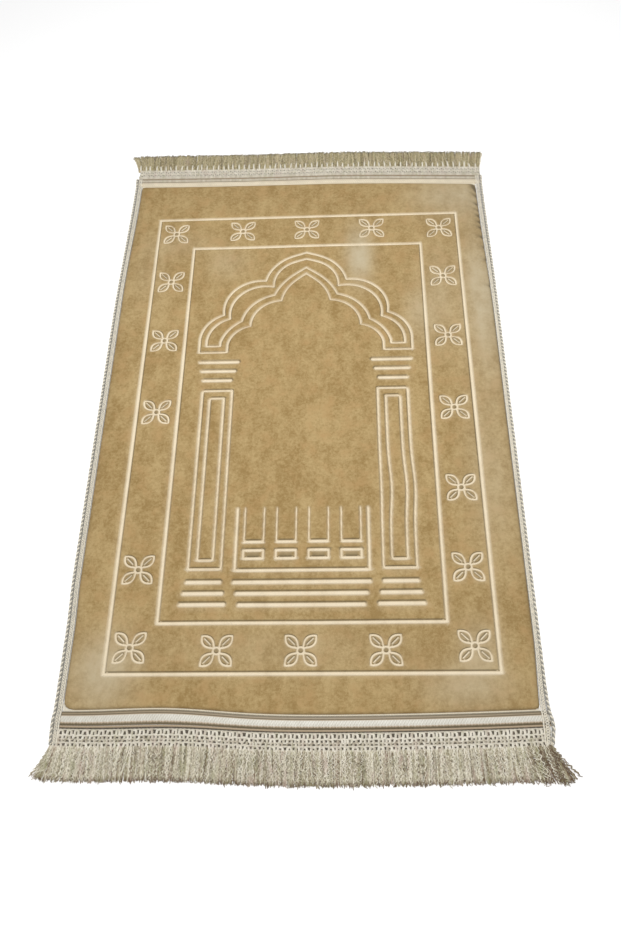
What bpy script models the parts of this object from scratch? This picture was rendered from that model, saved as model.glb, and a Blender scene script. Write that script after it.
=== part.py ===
"""Prayer rug laid flat: an embossed velvet panel with a braid along each side, and a piping,
a satin tape, a thin cord and a yarn fringe on a lace heading at each end.

Plan coordinates have their origin at the centre of the embossed frames. The near end is at -Y.
"""

import math
import random
from collections import namedtuple

import bmesh
import bpy
import numpy as np
from mathutils import Vector
from mathutils.geometry import delaunay_2d_cdt

MM = 0.001
NEAR, FAR = -1, 1
LEFT, RIGHT = -1, 1
ENDS = {NEAR: "near", FAR: "far"}
SIDES = {LEFT: "left", RIGHT: "right"}
GAP = 0.3 * MM

# Velvet panel
VELVET_LEFT = -344.7 * MM
VELVET_RIGHT = 341.1 * MM
VELVET_NEAR = -514.5 * MM
VELVET_FAR = 549 * MM
PILE_TOP = 6.0 * MM
PILE_EDGE = 2.8 * MM
PILE_ROLL = 7 * MM
ROLL_RINGS = (0.3, 1)
PILE_SWELL = 0.45 * MM
SWELL_LENGTH = 310 * MM
SWELL_PHASE = 1
Corner = namedtuple("Corner", "side end radius")
CORNERS = (
    Corner(LEFT, NEAR, 16 * MM),
    Corner(RIGHT, NEAR, 6 * MM),
    Corner(RIGHT, FAR, 11 * MM),
    Corner(LEFT, FAR, 7 * MM),
)

# How the cloth's edges stray from straight
Taper = namedtuple("Taper", "start end depth")
SideLine = namedtuple("SideLine", "x far near")
VELVET_SIDES = {
    LEFT: SideLine(VELVET_LEFT, Taper(260 * MM, 530 * MM, 6.5 * MM),
                   Taper(-300 * MM, -390 * MM, 2.6 * MM)),
    RIGHT: SideLine(VELVET_RIGHT, Taper(200 * MM, 530 * MM, 5.7 * MM),
                    Taper(-400 * MM, -520 * MM, 3.3 * MM)),
}
BRAID_SIDES = {
    LEFT: SideLine(-357 * MM, Taper(200 * MM, 560 * MM, 6.2 * MM),
                   Taper(-300 * MM, -390 * MM, 2.5 * MM)),
    RIGHT: SideLine(350.6 * MM, Taper(250 * MM, 540 * MM, 2.4 * MM),
                    Taper(-470 * MM, -530 * MM, -1.5 * MM)),
}
NEAR_BOW = 7 * MM
NEAR_DENT = 8.2 * MM
NEAR_DENT_X = -190 * MM
NEAR_DENT_HALF_WIDTH = 105 * MM
FAR_DROOP = 12.5 * MM
FAR_DROOP_START = 40 * MM
FAR_LIFT = 4.5 * MM
FAR_LIFT_START = -110 * MM
FAR_BEND_POWER = 1.3

# Embossed lines: half widths and depth of the pressed grooves
LINE = 2.5 * MM
BAR = 3.1 * MM
PETAL_LINE = 1.9 * MM
GROOVE_DEPTH = 2.2 * MM

# Two border frames
Frame = namedtuple("Frame", "half_width half_length")
BORDERS = (Frame(289 * MM, 456 * MM), Frame(217 * MM, 378.5 * MM))

# Arch: each line runs from its apex over neck and waist to its foot, in three bulging lobes
Arch = namedtuple("Arch", "apex_y neck_x neck_y waist_x waist_y foot_x spring_y foot_y bulges")
OUTER_BAND = (
    Arch(361 * MM, 75 * MM, 293 * MM, 149 * MM, 213 * MM, 190 * MM, 150 * MM, 128 * MM,
         (17 * MM, 27 * MM, 12.5 * MM)),
    Arch(309 * MM, 45 * MM, 245 * MM, 100 * MM, 186 * MM, 139.5 * MM, 145 * MM, 128 * MM,
         (9.5 * MM, 16 * MM, 9 * MM)),
)
INNER_BAND = (
    Arch(345 * MM, 60 * MM, 278 * MM, 137.5 * MM, 204 * MM, 177.5 * MM, 152 * MM, 142 * MM,
         (19.5 * MM, 29 * MM, 10.5 * MM)),
    Arch(324 * MM, 58 * MM, 258 * MM, 116 * MM, 198 * MM, 152.5 * MM, 150 * MM, 142 * MM,
         (8.5 * MM, 12.5 * MM, 6 * MM)),
)
LOBE_STEPS = 5

# Columns under the arch: bars of the capital, two nested shafts, bars of the foot
Bar = namedtuple("Bar", "inner_x outer_x y")
CAPITAL_BARS = (
    Bar(115.5 * MM, 188.5 * MM, 106.5 * MM),
    Bar(120.5 * MM, 184 * MM, 87 * MM),
    Bar(126.5 * MM, 180 * MM, 67 * MM),
)
FOOT_BARS = (
    Bar(123 * MM, 180 * MM, -312.5 * MM),
    Bar(119 * MM, 184 * MM, -331 * MM),
    Bar(115 * MM, 188 * MM, -349 * MM),
)
Shaft = namedtuple("Shaft", "inner_x outer_x top_y bottom_y")
SHAFTS = (
    Shaft(126 * MM, 177.5 * MM, 45 * MM, -291 * MM),
    Shaft(139.5 * MM, 164 * MM, 29 * MM, -276 * MM),
)

# Base between the columns: an open box with four niches, a window under each, and three bars
BOX_HALF_WIDTH = 104.5 * MM
BOX_BOTTOM = -293.5 * MM
BOX_TOP = -183 * MM
NICHE_COUNT = 4
NICHE_PITCH = 51.2 * MM
NICHE_HALF_WIDTH = 15.4 * MM
NICHE_BOTTOM = -245 * MM
WINDOW_HALF_WIDTH = 15.6 * MM
WINDOW_TOP = -259.5 * MM
WINDOW_BOTTOM = -273.5 * MM
Step = namedtuple("Step", "half_width y")
BASE_STEPS = (
    Step(107.5 * MM, -313 * MM),
    Step(102.5 * MM, -331.5 * MM),
    Step(98 * MM, -350 * MM),
)

# Four-petal flowers between the two frames
FLOWER_REACH = 32 * MM
PETAL_HALF_WIDTH = 6.6 * MM
FLOWER_EYE = 5 * MM
EYE_SIDES = 6
FLOWER_ROW_X = (-124.5 * MM, 0, 125 * MM)
FLOWER_ROW_Y = 421.5 * MM
FLOWER_COLUMN_X = 254.5 * MM
FLOWER_COLUMN_Y = (418 * MM, 296 * MM, 157 * MM, 2.5 * MM, -152.5 * MM, -291 * MM, -416 * MM)
BARE_PLACE = (LEFT, -152.5 * MM)
PETAL_STATIONS = ((0.34, 0.72), (0.68, 1.0))

# Side braids
BRAID_PITCH = 7.4 * MM
BRAID_SCALLOP = 1.1 * MM
BRAID_INNER = 3.0 * MM
BRAID_RIDGE = 3.9 * MM
BRAID_OUTER = 1.9 * MM
BRAID_RIDGE_PLACE = 0.42
BRAID_INNER_STEP = 44 * MM

# End trims: distances outward from the velvet's edge
PIPING_RADIUS = 1.6 * MM
TAPE_START = 2 * PIPING_RADIUS + 2 * GAP
Fold = namedtuple("Fold", "distance height")
TAPE_FOLDS = (
    Fold(TAPE_START, 1.2 * MM),
    Fold(7.0 * MM, 1.4 * MM),
    Fold(8.6 * MM, 2.9 * MM),
    Fold(13.0 * MM, 3.5 * MM),
    Fold(17.6 * MM, 2.9 * MM),
    Fold(19.2 * MM, 1.4 * MM),
    Fold(21.2 * MM, 1.2 * MM),
)
CORD_RADIUS = 1.5 * MM
CORD_START = TAPE_FOLDS[-1].distance + GAP
HEADING_START = CORD_START + 2 * CORD_RADIUS + GAP
HEADING_FOLDS = (
    Fold(HEADING_START, 1.5 * MM),
    Fold(33.0 * MM, 2.1 * MM),
    Fold(40.0 * MM, 1.6 * MM),
    Fold(43.0 * MM, 2.6 * MM),
    Fold(46.0 * MM, 1.9 * MM),
)
TRIM_OVERHANG = 13 * MM
TRIM_STEP = 36 * MM
CORD_SEGMENTS = 20

# Fringe locks
LOCK_COUNT = 116
FRINGE_SEED = 7
LOCK_LENGTHS = {NEAR: 51.5 * MM, FAR: 48 * MM}
LOCK_ROOT_FILL = 0.76
LOCK_BELLY_FILL = 0.62
LOCK_BELLY = 0.52
LOCK_BEND_POWER = 1.4
LOCK_LEAN = 0.9 * MM
LOCK_UNEVEN = 2.6 * MM
LOCK_TIP_HEIGHT = 1.1 * MM
Fan = namedtuple("Fan", "spread reach")
FANS = {
    (LEFT, NEAR): Fan(16.5 * MM, 34 * MM),
    (RIGHT, NEAR): Fan(30 * MM, 34 * MM),
    (LEFT, FAR): Fan(16 * MM, 30 * MM),
    (RIGHT, FAR): Fan(7 * MM, 30 * MM),
}

OUTLINE_STEP = 24 * MM
SWELL_GRID = 44 * MM
GRID_CLEARANCE = 11 * MM
MERGE = 0.01 * MM
INSIDE = 1
MITRE_LIMIT = 2.2

Groove = namedtuple("Groove", "points closed half_width")


def smooth(t):
    """Eased step from 0 to 1."""
    t = min(max(t, 0), 1)
    return t * t * (3 - 2 * t)


def spaced(start, end, step):
    """Values from start to end in equal steps of about the given size."""
    count = max(1, round(abs(end - start) / step))
    return [start + (end - start) * i / count for i in range(count + 1)]


def side_x(side, lines, y):
    """A line down the rug's side, drawn in towards both ends."""
    line = lines[side]
    drawn = sum(taper.depth * smooth((y - taper.start) / (taper.end - taper.start))
                for taper in (line.far, line.near))
    return line.x - side * drawn


def edge_x(side, y):
    """The velvet's side edge."""
    return side_x(side, VELVET_SIDES, y)


def edge_y(end, x):
    """The velvet's end edge: a bow and a dent at the near end, two bends at the far one."""
    if end == NEAR:
        push = NEAR_DENT * math.exp(-((x - NEAR_DENT_X) / NEAR_DENT_HALF_WIDTH) ** 2)
        return VELVET_NEAR + NEAR_BOW * (x / VELVET_RIGHT) ** 2 + push
    droop = max(0, x - FAR_DROOP_START) / (VELVET_RIGHT - FAR_DROOP_START)
    lift = max(0, FAR_LIFT_START - x) / (FAR_LIFT_START - VELVET_LEFT)
    return VELVET_FAR - FAR_DROOP * droop ** FAR_BEND_POWER + FAR_LIFT * lift ** FAR_BEND_POWER


def velvet_corner(corner):
    """The square corner, before it is rounded."""
    x = edge_x(corner.side, edge_y(corner.end, 0))
    return Vector((x, edge_y(corner.end, x)))


def velvet_outline():
    """The panel's outline, counter-clockwise from its near left corner."""
    points = []
    for index, corner in enumerate(CORNERS):
        following = CORNERS[(index + 1) % len(CORNERS)]
        tip, end_tip = velvet_corner(corner), velvet_corner(following)
        on_end = corner.end == following.end
        axis = 0 if on_end else 1
        forward = 1 if end_tip[axis] > tip[axis] else -1
        start = tip[axis] + forward * corner.radius
        stop = end_tip[axis] - forward * following.radius
        for value in spaced(start, stop, OUTLINE_STEP):
            if on_end:
                points.append(Vector((value, edge_y(corner.end, value))))
            else:
                points.append(Vector((edge_x(corner.side, value), value)))
        along = (end_tip - tip).normalized()
        arrive = points[-1]
        turned = Vector((-along.y, along.x)) * following.radius
        leave = end_tip + turned
        for t in (1 / 3, 2 / 3):
            bend = arrive.lerp(end_tip, t).lerp(end_tip.lerp(leave, t), t)
            points.append(bend)
    return points


def arc(start, end, bulge, steps):
    """Points after start, up to end, on the arc that stands out by bulge left of its chord."""
    chord = end - start
    half = chord.length / 2
    radius = (half * half + bulge * bulge) / (2 * bulge)
    side = Vector((-chord.y, chord.x)).normalized()
    centre = (start + end) / 2 + side * (bulge - radius)
    first = math.atan2(start.y - centre.y, start.x - centre.x)
    sweep = 2 * math.asin(min(1, half / radius))
    return [centre + radius * Vector((math.cos(first - sweep * i / steps),
                                      math.sin(first - sweep * i / steps)))
            for i in range(1, steps + 1)]


def arch_half(line):
    """One line of the arch on its right side, from the apex down to the foot."""
    apex = Vector((0, line.apex_y))
    neck = Vector((line.neck_x, line.neck_y))
    waist = Vector((line.waist_x, line.waist_y))
    spring = Vector((line.foot_x, line.spring_y))
    points = [apex]
    for start, end, bulge in zip((apex, neck, waist), (neck, waist, spring), line.bulges):
        points += arc(start, end, bulge, LOBE_STEPS)
    return points + [Vector((line.foot_x, line.foot_y))]


def mirrored(points):
    """The same points on the other side of the pattern's centre line, in reverse order."""
    return [Vector((-point.x, point.y)) for point in reversed(points)]


def arch_band(outer, inner):
    """Closed outline of one band of the arch: down its outer line, back along its inner one."""
    right = arch_half(outer) + list(reversed(arch_half(inner)))
    return Groove(right + mirrored(right)[1:-1], True, LINE)


def rectangle(left, right, bottom, top, half_width=LINE):
    """A closed rectangular line."""
    corners = ((left, bottom), (right, bottom), (right, top), (left, top))
    return Groove([Vector(corner) for corner in corners], True, half_width)


def bar(left, right, y):
    """A level bar between two outer ends."""
    return Groove([Vector((left + BAR, y)), Vector((right - BAR, y))], False, BAR)


def pair(inner, outer, make):
    """One shape on the right, and its mirror image on the left."""
    return [make(inner, outer), make(-outer, -inner)]


def column_grooves():
    """Capital bars, nested shafts and foot bars of both columns."""
    grooves = []
    for row in CAPITAL_BARS + FOOT_BARS:
        grooves += pair(row.inner_x, row.outer_x, lambda a, b: bar(a, b, row.y))
    for row in SHAFTS:
        grooves += pair(row.inner_x, row.outer_x,
                        lambda a, b: rectangle(a, b, row.bottom_y, row.top_y))
    return grooves


def open_box(centre, half_width, top, bottom, half_line):
    """A line down one side, along the bottom and up the other side."""
    sides = ((-1, top), (-1, bottom), (1, bottom), (1, top))
    points = [Vector((centre + side * half_width, y)) for side, y in sides]
    return Groove(points, False, half_line)


def base_grooves():
    """The open box, its niches and windows, and the steps under it."""
    grooves = [open_box(0, BOX_HALF_WIDTH, BOX_TOP, BOX_BOTTOM, LINE)]
    for index in range(NICHE_COUNT):
        centre = (index - (NICHE_COUNT - 1) / 2) * NICHE_PITCH
        grooves.append(open_box(centre, NICHE_HALF_WIDTH, BOX_TOP, NICHE_BOTTOM, PETAL_LINE))
        grooves.append(rectangle(centre - WINDOW_HALF_WIDTH, centre + WINDOW_HALF_WIDTH,
                                 WINDOW_BOTTOM, WINDOW_TOP, PETAL_LINE))
    for step in BASE_STEPS:
        grooves.append(bar(-step.half_width, step.half_width, step.y))
    return grooves


def petal(centre, angle):
    """A pointed leaf from the flower's eye to its tip."""
    out = Vector((math.cos(angle), math.sin(angle)))
    side = Vector((-out.y, out.x))
    length = FLOWER_REACH - FLOWER_EYE
    sides = [(s, w) for s, w in PETAL_STATIONS] + [(1, 0)]
    sides += [(s, -w) for s, w in reversed(PETAL_STATIONS)]
    points = [centre + out * FLOWER_EYE]
    for station, width in sides:
        along = FLOWER_EYE + station * length
        points.append(centre + out * along + side * width * PETAL_HALF_WIDTH)
    return Groove(points, True, PETAL_LINE)


def flower_grooves():
    """Every flower of the border: an eye and four petals on the diagonals."""
    centres = [Vector((x, end * FLOWER_ROW_Y)) for end in ENDS for x in FLOWER_ROW_X]
    for side in SIDES:
        centres += [Vector((side * FLOWER_COLUMN_X, y)) for y in FLOWER_COLUMN_Y
                    if (side, y) != BARE_PLACE]
    grooves = []
    for centre in centres:
        turns = [2 * math.pi * (i + 0.5) / EYE_SIDES for i in range(EYE_SIDES)]
        eye = [centre + FLOWER_EYE * Vector((math.cos(t), math.sin(t))) for t in turns]
        grooves.append(Groove(eye, True, PETAL_LINE))
        grooves += [petal(centre, math.pi / 4 + quarter * math.pi / 2) for quarter in range(4)]
    return grooves


def pattern():
    """All the lines that are pressed into the pile."""
    grooves = []
    for row in BORDERS:
        grooves.append(rectangle(-row.half_width, row.half_width, -row.half_length, row.half_length))
    grooves += [arch_band(*OUTER_BAND), arch_band(*INNER_BAND)]
    return grooves + column_grooves() + base_grooves() + flower_grooves()


def offset(points, distance, closed):
    """The polyline moved sideways by distance, to its left, with limited mitres."""
    moved = []
    count = len(points)
    for i, point in enumerate(points):
        before = points[i - 1] if closed or i > 0 else None
        after = points[(i + 1) % count] if closed or i < count - 1 else None
        into = (point - before).normalized() if before is not None else None
        out = (after - point).normalized() if after is not None else into
        into = into or out
        normal = Vector((-into.y - out.y, into.x + out.x))
        normal.normalize()
        reach = max(1 / MITRE_LIMIT, normal.dot(Vector((-into.y, into.x))))
        moved.append(point + normal * distance / reach)
    return moved


def stretched(points, reach):
    """An open line made longer by reach at both ends."""
    start = points[0] + (points[0] - points[1]).normalized() * reach
    end = points[-1] + (points[-1] - points[-2]).normalized() * reach
    return [start] + points[1:-1] + [end]


def subdivided(points, closed, step):
    """The line with extra points, so that its long stretches follow the pile's swell."""
    result = []
    pairs = list(zip(points, points[1:] + points[:1]))
    for start, end in pairs if closed else pairs[:-1]:
        count = max(1, round((end - start).length / step))
        result += [start.lerp(end, i / count) for i in range(count)]
    return result if closed else result + [points[-1]]


class Plan:
    """Points and lines in plan that a relief's triangles have to follow."""

    def __init__(self, outline):
        self.outline = outline
        self.points = []
        self.edges = []
        self.add(outline, True)

    def add(self, points, closed):
        first = len(self.points)
        self.points += points
        count = len(points)
        last = count if closed else count - 1
        self.edges += [(first + i, first + (i + 1) % count) for i in range(last)]

    def add_groove(self, groove):
        centre = subdivided(groove.points, groove.closed, SWELL_GRID * 2)
        self.add(centre, groove.closed)
        if groove.closed:
            for side in (-1, 1):
                self.add(offset(centre, side * groove.half_width, True), True)
        else:
            longer = stretched(centre, groove.half_width)
            left = offset(longer, groove.half_width, False)
            right = offset(longer, -groove.half_width, False)
            self.add(left + right[::-1], True)

    def triangles(self):
        return delaunay_2d_cdt(self.points, self.edges, [], INSIDE, MERGE)


def segment_distance(points, polylines):
    """Least distance from each point to the lines, each divided by its own scale."""
    best = np.full(len(points), np.inf)
    for line, closed, scale in polylines:
        start = np.array([tuple(p) for p in line])
        end = np.roll(start, -1, axis=0)
        if not closed:
            start, end = start[:-1], end[:-1]
        along = end - start
        to_point = points[:, None, :] - start[None]
        share = (to_point * along).sum(-1) / (along * along).sum(-1)
        nearest = to_point - np.clip(share, 0, 1)[..., None] * along
        distance = np.sqrt((nearest * nearest).sum(-1)).min(axis=1)
        best = np.minimum(best, distance / scale)
    return best


def relief_body(name, plan, height):
    """A closed body with a flat underside at z = 0 and a top that follows a height function."""
    flat, _, faces, sources, _, _ = plan.triangles()
    tops = height(np.array([tuple(point) for point in flat]))
    made = {source: index for index, group in enumerate(sources) for source in group}
    body = bmesh.new()
    upper = [body.verts.new((*point, top)) for point, top in zip(flat, tops)]
    for face in faces:
        body.faces.new([upper[i] for i in face])
    rim = len(plan.outline)
    lower = [body.verts.new((*point, 0)) for point in plan.outline]
    loop = [(i, (i + 1) % rim) for i in range(rim)]
    under = delaunay_2d_cdt(plan.outline, loop, [], INSIDE, MERGE)
    for face in under[2]:
        body.faces.new([lower[under[3][i][0]] for i in reversed(face)])
    for i, j in loop:
        body.faces.new((lower[i], lower[j], upper[made[j]], upper[made[i]]))
    bmesh.ops.delete(body, geom=[v for v in body.verts if not v.link_faces], context="VERTS")
    bmesh.ops.recalc_face_normals(body, faces=body.faces)
    mesh = bpy.data.meshes.new(name)
    body.to_mesh(mesh)
    body.free()
    return bpy.data.objects.new(name, mesh)


def folded(folds, distance):
    """Height at a distance across a strip, between the rows of its fold table."""
    return np.interp(distance, [fold.distance for fold in folds], [fold.height for fold in folds])


def velvet_panel():
    """The plush panel: rolled edges, a gentle swell and the pressed pattern."""
    outline = velvet_outline()
    grooves = pattern()
    plan = Plan(outline)
    for share in ROLL_RINGS:
        plan.add(offset(outline, PILE_ROLL * share, True), True)
    for groove in grooves:
        plan.add_groove(groove)
    lines = [(groove.points, groove.closed, groove.half_width) for groove in grooves]
    plain = [(groove.points, groove.closed, 1) for groove in grooves]
    rim = [(outline, True, 1)]
    grid = np.array([(x, y) for x in spaced(VELVET_LEFT, VELVET_RIGHT, SWELL_GRID)
                     for y in spaced(VELVET_NEAR, VELVET_FAR, SWELL_GRID)])
    clear = segment_distance(grid, plain + rim) > GRID_CLEARANCE
    plan.points += [Vector(point) for point in grid[clear]]

    def height(points):
        roll = np.clip(segment_distance(points, rim) / PILE_ROLL, 0, 1)
        wave = np.sin(2 * math.pi * points[:, 0] / SWELL_LENGTH + SWELL_PHASE)
        wave = wave * np.sin(2 * math.pi * points[:, 1] / SWELL_LENGTH)
        crown = PILE_TOP - PILE_EDGE + PILE_SWELL * wave
        pressed = GROOVE_DEPTH * np.clip(1 - segment_distance(points, lines), 0, 1)
        return PILE_EDGE + crown * (1 - (1 - roll) ** 2) - pressed

    return relief_body("velvet_panel", plan, height)


def side_braid(side):
    """A plaited braid: a scalloped outer edge and a knobbly ridge along a straight inner edge."""

    def across(y, share):
        inner = edge_x(side, y) + side * GAP
        return Vector((inner + (side_x(side, BRAID_SIDES, y) - inner) * share, y))

    def between_tapes(share, step):
        limits = []
        for end, velvet_y in ((NEAR, VELVET_NEAR), (FAR, VELVET_FAR)):
            limits.append(edge_y(end, across(velvet_y, share).x) + end * (TAPE_START - 2 * GAP))
        return spaced(*limits, step)

    inner = [across(y, 0) for y in between_tapes(0, BRAID_INNER_STEP)]
    outer = [across(y, 1) for y in between_tapes(1, BRAID_PITCH / 2)]
    for point in outer[1::2]:
        point.x -= side * BRAID_SCALLOP
    ridge = [across(y, BRAID_RIDGE_PLACE)
             for y in between_tapes(BRAID_RIDGE_PLACE, BRAID_PITCH)[1:-1]]
    plan = Plan(outer + inner[::-1] if side == RIGHT else outer[::-1] + inner)
    plan.add(ridge, False)

    def height(points):
        shares = [(x - across(y, 0).x) / (across(y, 1).x - across(y, 0).x) for x, y in points]
        return np.interp(shares, (0, BRAID_RIDGE_PLACE, 1), (BRAID_INNER, BRAID_RIDGE, BRAID_OUTER))

    return relief_body("braid_" + SIDES[side], plan, height)


def trim_span(end):
    """The two x values between which an end's trims run."""
    y = edge_y(end, 0)
    return edge_x(LEFT, y) - TRIM_OVERHANG, edge_x(RIGHT, y) + TRIM_OVERHANG


def trim_line(end, distance):
    """The line across the rug at a distance outward from the velvet's end."""
    return [Vector((x, edge_y(end, x) + end * distance)) for x in spaced(*trim_span(end), TRIM_STEP)]


def outward(end, points):
    """Distance of plan points outward from the velvet's end."""
    edges = np.array([edge_y(end, x) for x in points[:, 0]])
    return end * (points[:, 1] - edges)


def end_tape(end):
    """A satin tape with a padded middle and a flat lip on both sides."""
    first, last = TAPE_FOLDS[0].distance, TAPE_FOLDS[-1].distance
    outline = trim_line(end, first) + trim_line(end, last)[::-1]
    plan = Plan(outline)
    for fold in TAPE_FOLDS[1:-1]:
        plan.add(trim_line(end, fold.distance)[1:-1], False)
    return relief_body("tape_" + ENDS[end], plan, lambda p: folded(TAPE_FOLDS, outward(end, p)))


def end_cord(name, end, distance, radius, span):
    """A thin cord on the surface, as a tube along the velvet's end."""
    curve = bpy.data.curves.new(name, "CURVE")
    curve.dimensions = "3D"
    curve.bevel_depth = radius
    curve.bevel_resolution = 2
    curve.use_fill_caps = True
    spline = curve.splines.new("POLY")
    xs = spaced(span[0], span[1], (span[1] - span[0]) / CORD_SEGMENTS)
    spline.points.add(len(xs) - 1)
    for point, x in zip(spline.points, xs):
        point.co = (x, edge_y(end, x) + end * distance, radius, 1)
    return bpy.data.objects.new(name, curve)


def fan_out(end, x, span):
    """Sideways spread of a lock's tip: locks splay at the rug's corners."""
    spread = 0
    for side, edge in zip(SIDES, span):
        fan = FANS[side, end]
        spread += side * fan.spread * math.exp(-abs(x - edge) / fan.reach)
    return spread


def lock_outline(end, x, pitch, span, rng):
    """Five points round one lock, from its root on one side, by its tip, to its other root."""
    root_y = edge_y(end, x) + end * HEADING_FOLDS[-1].distance
    spread = fan_out(end, x, span) + rng.uniform(-LOCK_LEAN, LOCK_LEAN)
    rise = LOCK_LENGTHS[end] + rng.uniform(-LOCK_UNEVEN, LOCK_UNEVEN)
    root = pitch * LOCK_ROOT_FILL / 2
    belly = pitch * LOCK_BELLY_FILL / 2
    belly_x = x + spread * LOCK_BELLY ** LOCK_BEND_POWER
    belly_y = root_y + end * rise * LOCK_BELLY
    left_root = edge_y(end, x - root) + end * HEADING_FOLDS[-1].distance
    right_root = edge_y(end, x + root) + end * HEADING_FOLDS[-1].distance
    return [Vector((x - root, left_root)), Vector((belly_x - belly, belly_y)),
            Vector((x + spread, root_y + end * rise)),
            Vector((belly_x + belly, belly_y)), Vector((x + root, right_root))]


def end_fringe(end):
    """The lace heading with its comb of yarn locks, lying level on the floor."""
    rng = random.Random(FRINGE_SEED + end)
    span = trim_span(end)
    pitch = (span[1] - span[0]) / LOCK_COUNT
    comb = []
    for index in range(LOCK_COUNT):
        comb += lock_outline(end, span[0] + (index + 0.5) * pitch, pitch, span, rng)
    inner = trim_line(end, HEADING_FOLDS[0].distance)
    plan = Plan(inner + comb[::-1])
    for fold in HEADING_FOLDS[1:-1]:
        plan.add(trim_line(end, fold.distance)[1:-1], False)
    root = HEADING_FOLDS[-1]

    def height(points):
        distance = outward(end, points)
        share = np.clip((distance - root.distance) / LOCK_LENGTHS[end], 0, 1)
        lock = root.height + (LOCK_TIP_HEIGHT - root.height) * share
        return np.where(distance > root.distance, lock, folded(HEADING_FOLDS, distance))

    return relief_body("fringe_" + ENDS[end], plan, height)


def finish(obj, color, roughness, collection):
    """Give the piece its material and link it to the rug's collection."""
    material = bpy.data.materials.new(obj.name)
    material.use_nodes = True
    shader = material.node_tree.nodes["Principled BSDF"]
    shader.inputs["Base Color"].default_value = (*color, 1)
    shader.inputs["Roughness"].default_value = roughness
    shader.inputs["Metallic"].default_value = 0
    obj.data.materials.append(material)
    collection.objects.link(obj)


def stand_on_origin(objects):
    """Move the rug so that the middle of its underside lies on the origin."""
    bpy.context.view_layer.update()
    corners = np.array([tuple(obj.matrix_world @ Vector(corner))
                        for obj in objects for corner in obj.bound_box])
    middle = (corners.min(axis=0) + corners.max(axis=0)) / 2
    for obj in objects:
        obj.location.x -= middle[0]
        obj.location.y -= middle[1]


VELVET_TAN = (0.456, 0.327, 0.15)
CREAM = (0.70, 0.66, 0.54)
SATIN_CREAM = (0.76, 0.72, 0.62)
CORD_TAN = (0.36, 0.27, 0.16)
YARN_BEIGE = (0.46, 0.42, 0.31)
PLUSH, WOVEN, SATIN = 0.95, 0.8, 0.45


def main():
    for obj in list(bpy.context.scene.objects):
        bpy.data.objects.remove(obj)
    rug = bpy.data.collections.new("prayer_rug")
    bpy.context.scene.collection.children.link(rug)
    finish(velvet_panel(), VELVET_TAN, PLUSH, rug)
    for side in SIDES:
        finish(side_braid(side), CREAM, WOVEN, rug)
    for end, label in ENDS.items():
        span = trim_span(end)
        inside = (span[0] + TRIM_OVERHANG + GAP, span[1] - TRIM_OVERHANG - GAP)
        piping = end_cord("piping_" + label, end, GAP + PIPING_RADIUS, PIPING_RADIUS, inside)
        cord = end_cord("tan_cord_" + label, end, CORD_START + CORD_RADIUS, CORD_RADIUS, span)
        finish(piping, CREAM, WOVEN, rug)
        finish(end_tape(end), SATIN_CREAM, SATIN, rug)
        finish(cord, CORD_TAN, WOVEN, rug)
        finish(end_fringe(end), YARN_BEIGE, WOVEN, rug)
    stand_on_origin(list(rug.objects))


main()
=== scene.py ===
"""Dresses the prayer rug: plush velvet with its pressed pattern, plaited side braids, and at each
end a piping, a satin tape, a thin cord, a crocheted heading and a fringe of twisted yarn.

All sizes are in metres. Plan coordinates have their origin at the centre of the pressed frames,
with the near end of the rug at -Y.
"""

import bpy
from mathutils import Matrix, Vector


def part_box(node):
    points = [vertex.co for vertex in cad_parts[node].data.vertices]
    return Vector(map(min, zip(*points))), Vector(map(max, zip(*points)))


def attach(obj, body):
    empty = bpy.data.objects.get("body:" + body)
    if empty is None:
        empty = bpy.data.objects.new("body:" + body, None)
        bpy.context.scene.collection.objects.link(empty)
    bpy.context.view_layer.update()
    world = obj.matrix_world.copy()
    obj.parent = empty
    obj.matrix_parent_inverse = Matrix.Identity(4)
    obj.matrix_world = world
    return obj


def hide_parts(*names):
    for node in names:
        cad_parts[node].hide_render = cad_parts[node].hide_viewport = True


bl_info = {
    "name": "Embossed Prayer Rug",
    "version": (1, 0, 0),
    "blender": (4, 5, 0),
    "location": "View3D > Sidebar > Prayer Rug",
    "description": "Builds an embossed velvet prayer rug with braids, tapes and fringes",
    "category": "Add Mesh",
}

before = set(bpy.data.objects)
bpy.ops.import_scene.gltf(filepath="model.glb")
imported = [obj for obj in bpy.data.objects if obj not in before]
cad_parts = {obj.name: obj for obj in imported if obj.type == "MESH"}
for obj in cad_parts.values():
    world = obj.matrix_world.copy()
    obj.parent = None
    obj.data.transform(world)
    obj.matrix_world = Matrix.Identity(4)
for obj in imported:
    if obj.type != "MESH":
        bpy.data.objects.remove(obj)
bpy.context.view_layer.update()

import math
from collections import namedtuple

import bpy
import numpy as np
from bpy.props import FloatProperty, FloatVectorProperty, IntProperty, PointerProperty
from mathutils import Vector, noise
from mathutils.geometry import delaunay_2d_cdt
from mathutils.kdtree import KDTree

MM = 0.001
NEAR, FAR = -1, 1
LEFT, RIGHT = -1, 1
ENDS = {NEAR: "near", FAR: "far"}
SIDES = {LEFT: "left", RIGHT: "right"}
GAP = 0.3 * MM


def in_mm(kind, *rows, plain=()):
    """Rows of a table that are written in millimetres, apart from the columns named in plain."""
    return tuple(kind(*(value if column in plain else value * MM
                        for column, value in zip(kind._fields, row))) for row in rows)


# ---------------------------------------------------------------- sizes of the velvet panel

PILE_EDGE = 1.6 * MM
PILE_ROLL = 6 * MM
PILE_SWELL = 0.45 * MM
SWELL_LENGTH = 310 * MM
SWELL_PHASE = 1
Corner = namedtuple("Corner", "side end radius")
CORNERS = in_mm(Corner, (LEFT, NEAR, 16), (RIGHT, NEAR, 6), (RIGHT, FAR, 11), (LEFT, FAR, 7),
                plain=("side", "end"))
Taper = namedtuple("Taper", "start end depth")
SideLine = namedtuple("SideLine", "x far near")


def side_line(x, far, near):
    """A long edge and its tapers towards the far and the near end, in millimetres."""
    return SideLine(x * MM, *in_mm(Taper, far, near))


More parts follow.
